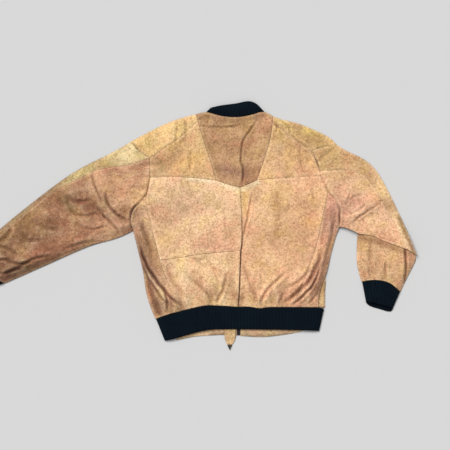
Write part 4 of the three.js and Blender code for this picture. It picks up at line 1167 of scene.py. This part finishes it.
# %% Teeth
TOOTH = Vector((2.6, 1.3, 0.7)) * MM
TOOTH_PITCH = 2.5 * MM
TOOTH_SINK = 0.15 * MM
TOOTH_SIDE = 0.7 * MM  # teeth stand to the left and to the right in turn
TOOTH_BREAK = 0.2 * MM
CHAIN_START = 2 * MM  # from the tape's lower end
CHAIN_LESS = 16 * MM  # the chain is shorter than the tape
zip_low, zip_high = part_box("zip")
bm = bmesh.new()
middle = (zip_low[0] + zip_high[0]) / 2
count = int((zip_high[1] - zip_low[1] - CHAIN_LESS) / TOOTH_PITCH)
for i in range(count):
    side = -1 if i % 2 else 1
    place = Vector((middle + side * TOOTH_SIDE, zip_low[1] + CHAIN_START + i * TOOTH_PITCH,
                    zip_high[2] + TOOTH.z / 2 - TOOTH_SINK))
    bmesh.ops.create_cube(bm, size=1.0, matrix=Matrix.Translation(place) @ Matrix.Diagonal((*TOOTH, 1)))
bmesh.ops.bevel(bm, geom=bm.edges, offset=TOOTH_BREAK, segments=1, profile=0.5, material=-1, affect="EDGES")
chain = as_piece(bm, "zip_chain")
chain.data.materials.append(trim["dark_metal"])
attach(chain, "root")
print("teeth:", count)

# %% [markdown]
# ## Topstitching
# Seams in leather are sewn flat with a row of thread beside them. A stitch is one small bead, stretched
# along the seam and laid on the skin. The rows follow the open edge of a skin, a few millimetres in,
# and leave out the free edges, where the leather only rolls under.

# %% Stitches
STITCH = 4.2 * MM
STITCH_IN = 3.4 * MM
THREAD = 0.42 * MM
STITCH_HALF = 1.5 * MM
STITCH_FREE = 4 * MM  # an edge so close to a free one isn't sewn
DROP = 50 * MM  # a stitch is let down from this height
DOWN = Vector((0, 0, -1))
ROW = 60  # stitches made together, because a short row is quick to add to
STITCHED = ("yoke_centre", "shoulder_left", "shoulder_right", "side_left", "side_right",
            "back_left_lower", "sleeve_right_top", "back_right")


def edge_loops(mesh):
    """The open edge of a skin as closed loops of places, with the panel on the left."""
    bm = bmesh.new()
    bm.from_mesh(mesh)
    after = {loop.vert: loop.link_loop_next.vert
             for edge in bm.edges if edge.is_boundary for loop in edge.link_loops}
    loops = []
    while after:
        vertex = next(iter(after))
        loop = []
        while vertex in after:
            loop.append(vertex.co.copy())
            vertex = after.pop(vertex)
        loops.append(loop)
    bm.free()
    return loops


def added(bm, row):
    """Adds a row of stitches to the rest, and gives an empty one."""
    mesh = bpy.data.meshes.new("row")
    row.to_mesh(mesh)
    row.free()
    bm.from_mesh(mesh)
    bpy.data.meshes.remove(mesh)
    return bmesh.new()


print("stitched:", len(STITCHED), "panels")

# %% Sewing
def sew(bm, panel, is_free):
    """Lays stitches beside the sewn edges of one panel and returns how many."""
    mesh = skins[panel].data
    skin = BVHTree.FromPolygons([v.co for v in mesh.vertices], [p.vertices for p in mesh.polygons])
    made = 0
    row = bmesh.new()
    for loop in edge_loops(mesh):
        run = 0.0
        for start, stop in zip(loop, loop[1:] + loop[:1]):
            run += (stop - start).length
            if run < STITCH:
                continue
            run = 0.0
            along = (stop - start).normalized()
            inward = Vector((-along.y, along.x, 0)).normalized()
            if is_free(start):
                continue
            hit, normal, _, _ = skin.ray_cast(start + inward * STITCH_IN - DROP * DOWN, DOWN)
            if hit is None:
                continue
            turn = Matrix((along, normal.cross(along), normal)).transposed().to_4x4()
            size = Matrix.Diagonal((STITCH_HALF, THREAD, THREAD, 1))
            bmesh.ops.create_uvsphere(row, u_segments=6, v_segments=4, radius=1.0,
                                      matrix=Matrix.Translation(hit) @ turn @ size)
            made += 1
            if made % ROW == 0:
                row = added(bm, row)
    added(bm, row).free()
    return made


free_tree = tree_of(free_edge)
bm = bmesh.new()
stitch_count = sum(sew(bm, panel, lambda p: free_tree.find((p.x, p.y, 0))[2] < STITCH_FREE)
                   for panel in STITCHED)
stitches = as_piece(bm, "topstitches")
for face in stitches.data.polygons:
    face.use_smooth = True
print("stitches:", stitch_count)

# %% Thread
DIRTY = dye(150, 108, 74)
CLEAN = dye(205, 166, 122)


def thread():
    """Waxed thread, darker where it is dirty."""
    finish = Finish("waxed_thread")
    fade = finish.grain(60, 3, 0.6)
    colour = finish.between(finish.ramp(fade, 0.35, 0.65), DIRTY, CLEAN)
    finish.join(colour, finish.surface.inputs["Base Color"])
    finish.raised(finish.grain(1800, 1, 0.5), 0.1 * MM)
    finish.even({"Roughness": 0.7})
    return finish.material


stitches.data.materials.append(thread())
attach(stitches, "root")
print("thread on", len(stitches.data.polygons), "faces")

# %% [markdown]
# ## Surface, light and camera
# The jacket lies on a pale grey surface and was taken from straight above. One broad lamp to the
# upper left draws the folds, and an even grey sky fills their shadows.

# %% Surface
SURFACE_HALF = 6.0
SURFACE_DROP = 0.3 * MM  # keeps it clear of the leather that lies on it
PAPER_TONES = 0.595, 0.605
bm = bmesh.new()
bmesh.ops.create_grid(bm, x_segments=1, y_segments=1, size=SURFACE_HALF,
                      matrix=Matrix.Translation((0, 0, -SURFACE_DROP)))
surface = as_piece(bm, "surface")
paper = Finish("grey_paper")
fibre = paper.grain(900, 2, 0.5)
paper.join(paper.between(fibre, *([tone] * 3 for tone in PAPER_TONES)), paper.surface.inputs["Base Color"])
paper.even({"Roughness": 1.0, "Specular IOR Level": 0.0})
surface.data.materials.append(paper.material)
print("surface:", 2 * SURFACE_HALF, "m wide")

# %% Light
SKY = 0.44
LAMP_STRENGTH = 3.05
LAMP_SPREAD = math.radians(35)
LAMP_FROM = Vector((-0.55, 0.75, 1.0))
scene = bpy.context.scene
scene.world = bpy.data.worlds.new("studio")
scene.world.use_nodes = True
sky = scene.world.node_tree.nodes["Background"]
sky.inputs["Color"].default_value = (1, 1, 1, 1)
sky.inputs["Strength"].default_value = SKY
lamp = bpy.data.lights.new("softbox", "SUN")
lamp.energy = LAMP_STRENGTH
lamp.angle = LAMP_SPREAD
softbox = bpy.data.objects.new("softbox", lamp)
softbox.rotation_euler = (-LAMP_FROM).to_track_quat("-Z", "Y").to_euler()
scene.collection.objects.link(softbox)
scene.view_settings.view_transform = "Standard"
print("lamp strength", LAMP_STRENGTH, "over a sky of", SKY)

# %% Camera
VIEW_WIDTH = 1.305  # width of the surface in the picture
VIEW_CENTRE = -43.5, 0
CAMERA_HEIGHT = 5.0
SENSOR = 36.0
lens = bpy.data.cameras.new("camera")
lens.sensor_width = SENSOR
lens.lens = SENSOR * CAMERA_HEIGHT / VIEW_WIDTH
camera = bpy.data.objects.new("camera", lens)
camera.location = (*on_garment(VIEW_CENTRE)[0], CAMERA_HEIGHT)
scene.collection.objects.link(camera)
scene.camera = camera
print("lens", round(lens.lens, 1), "mm")
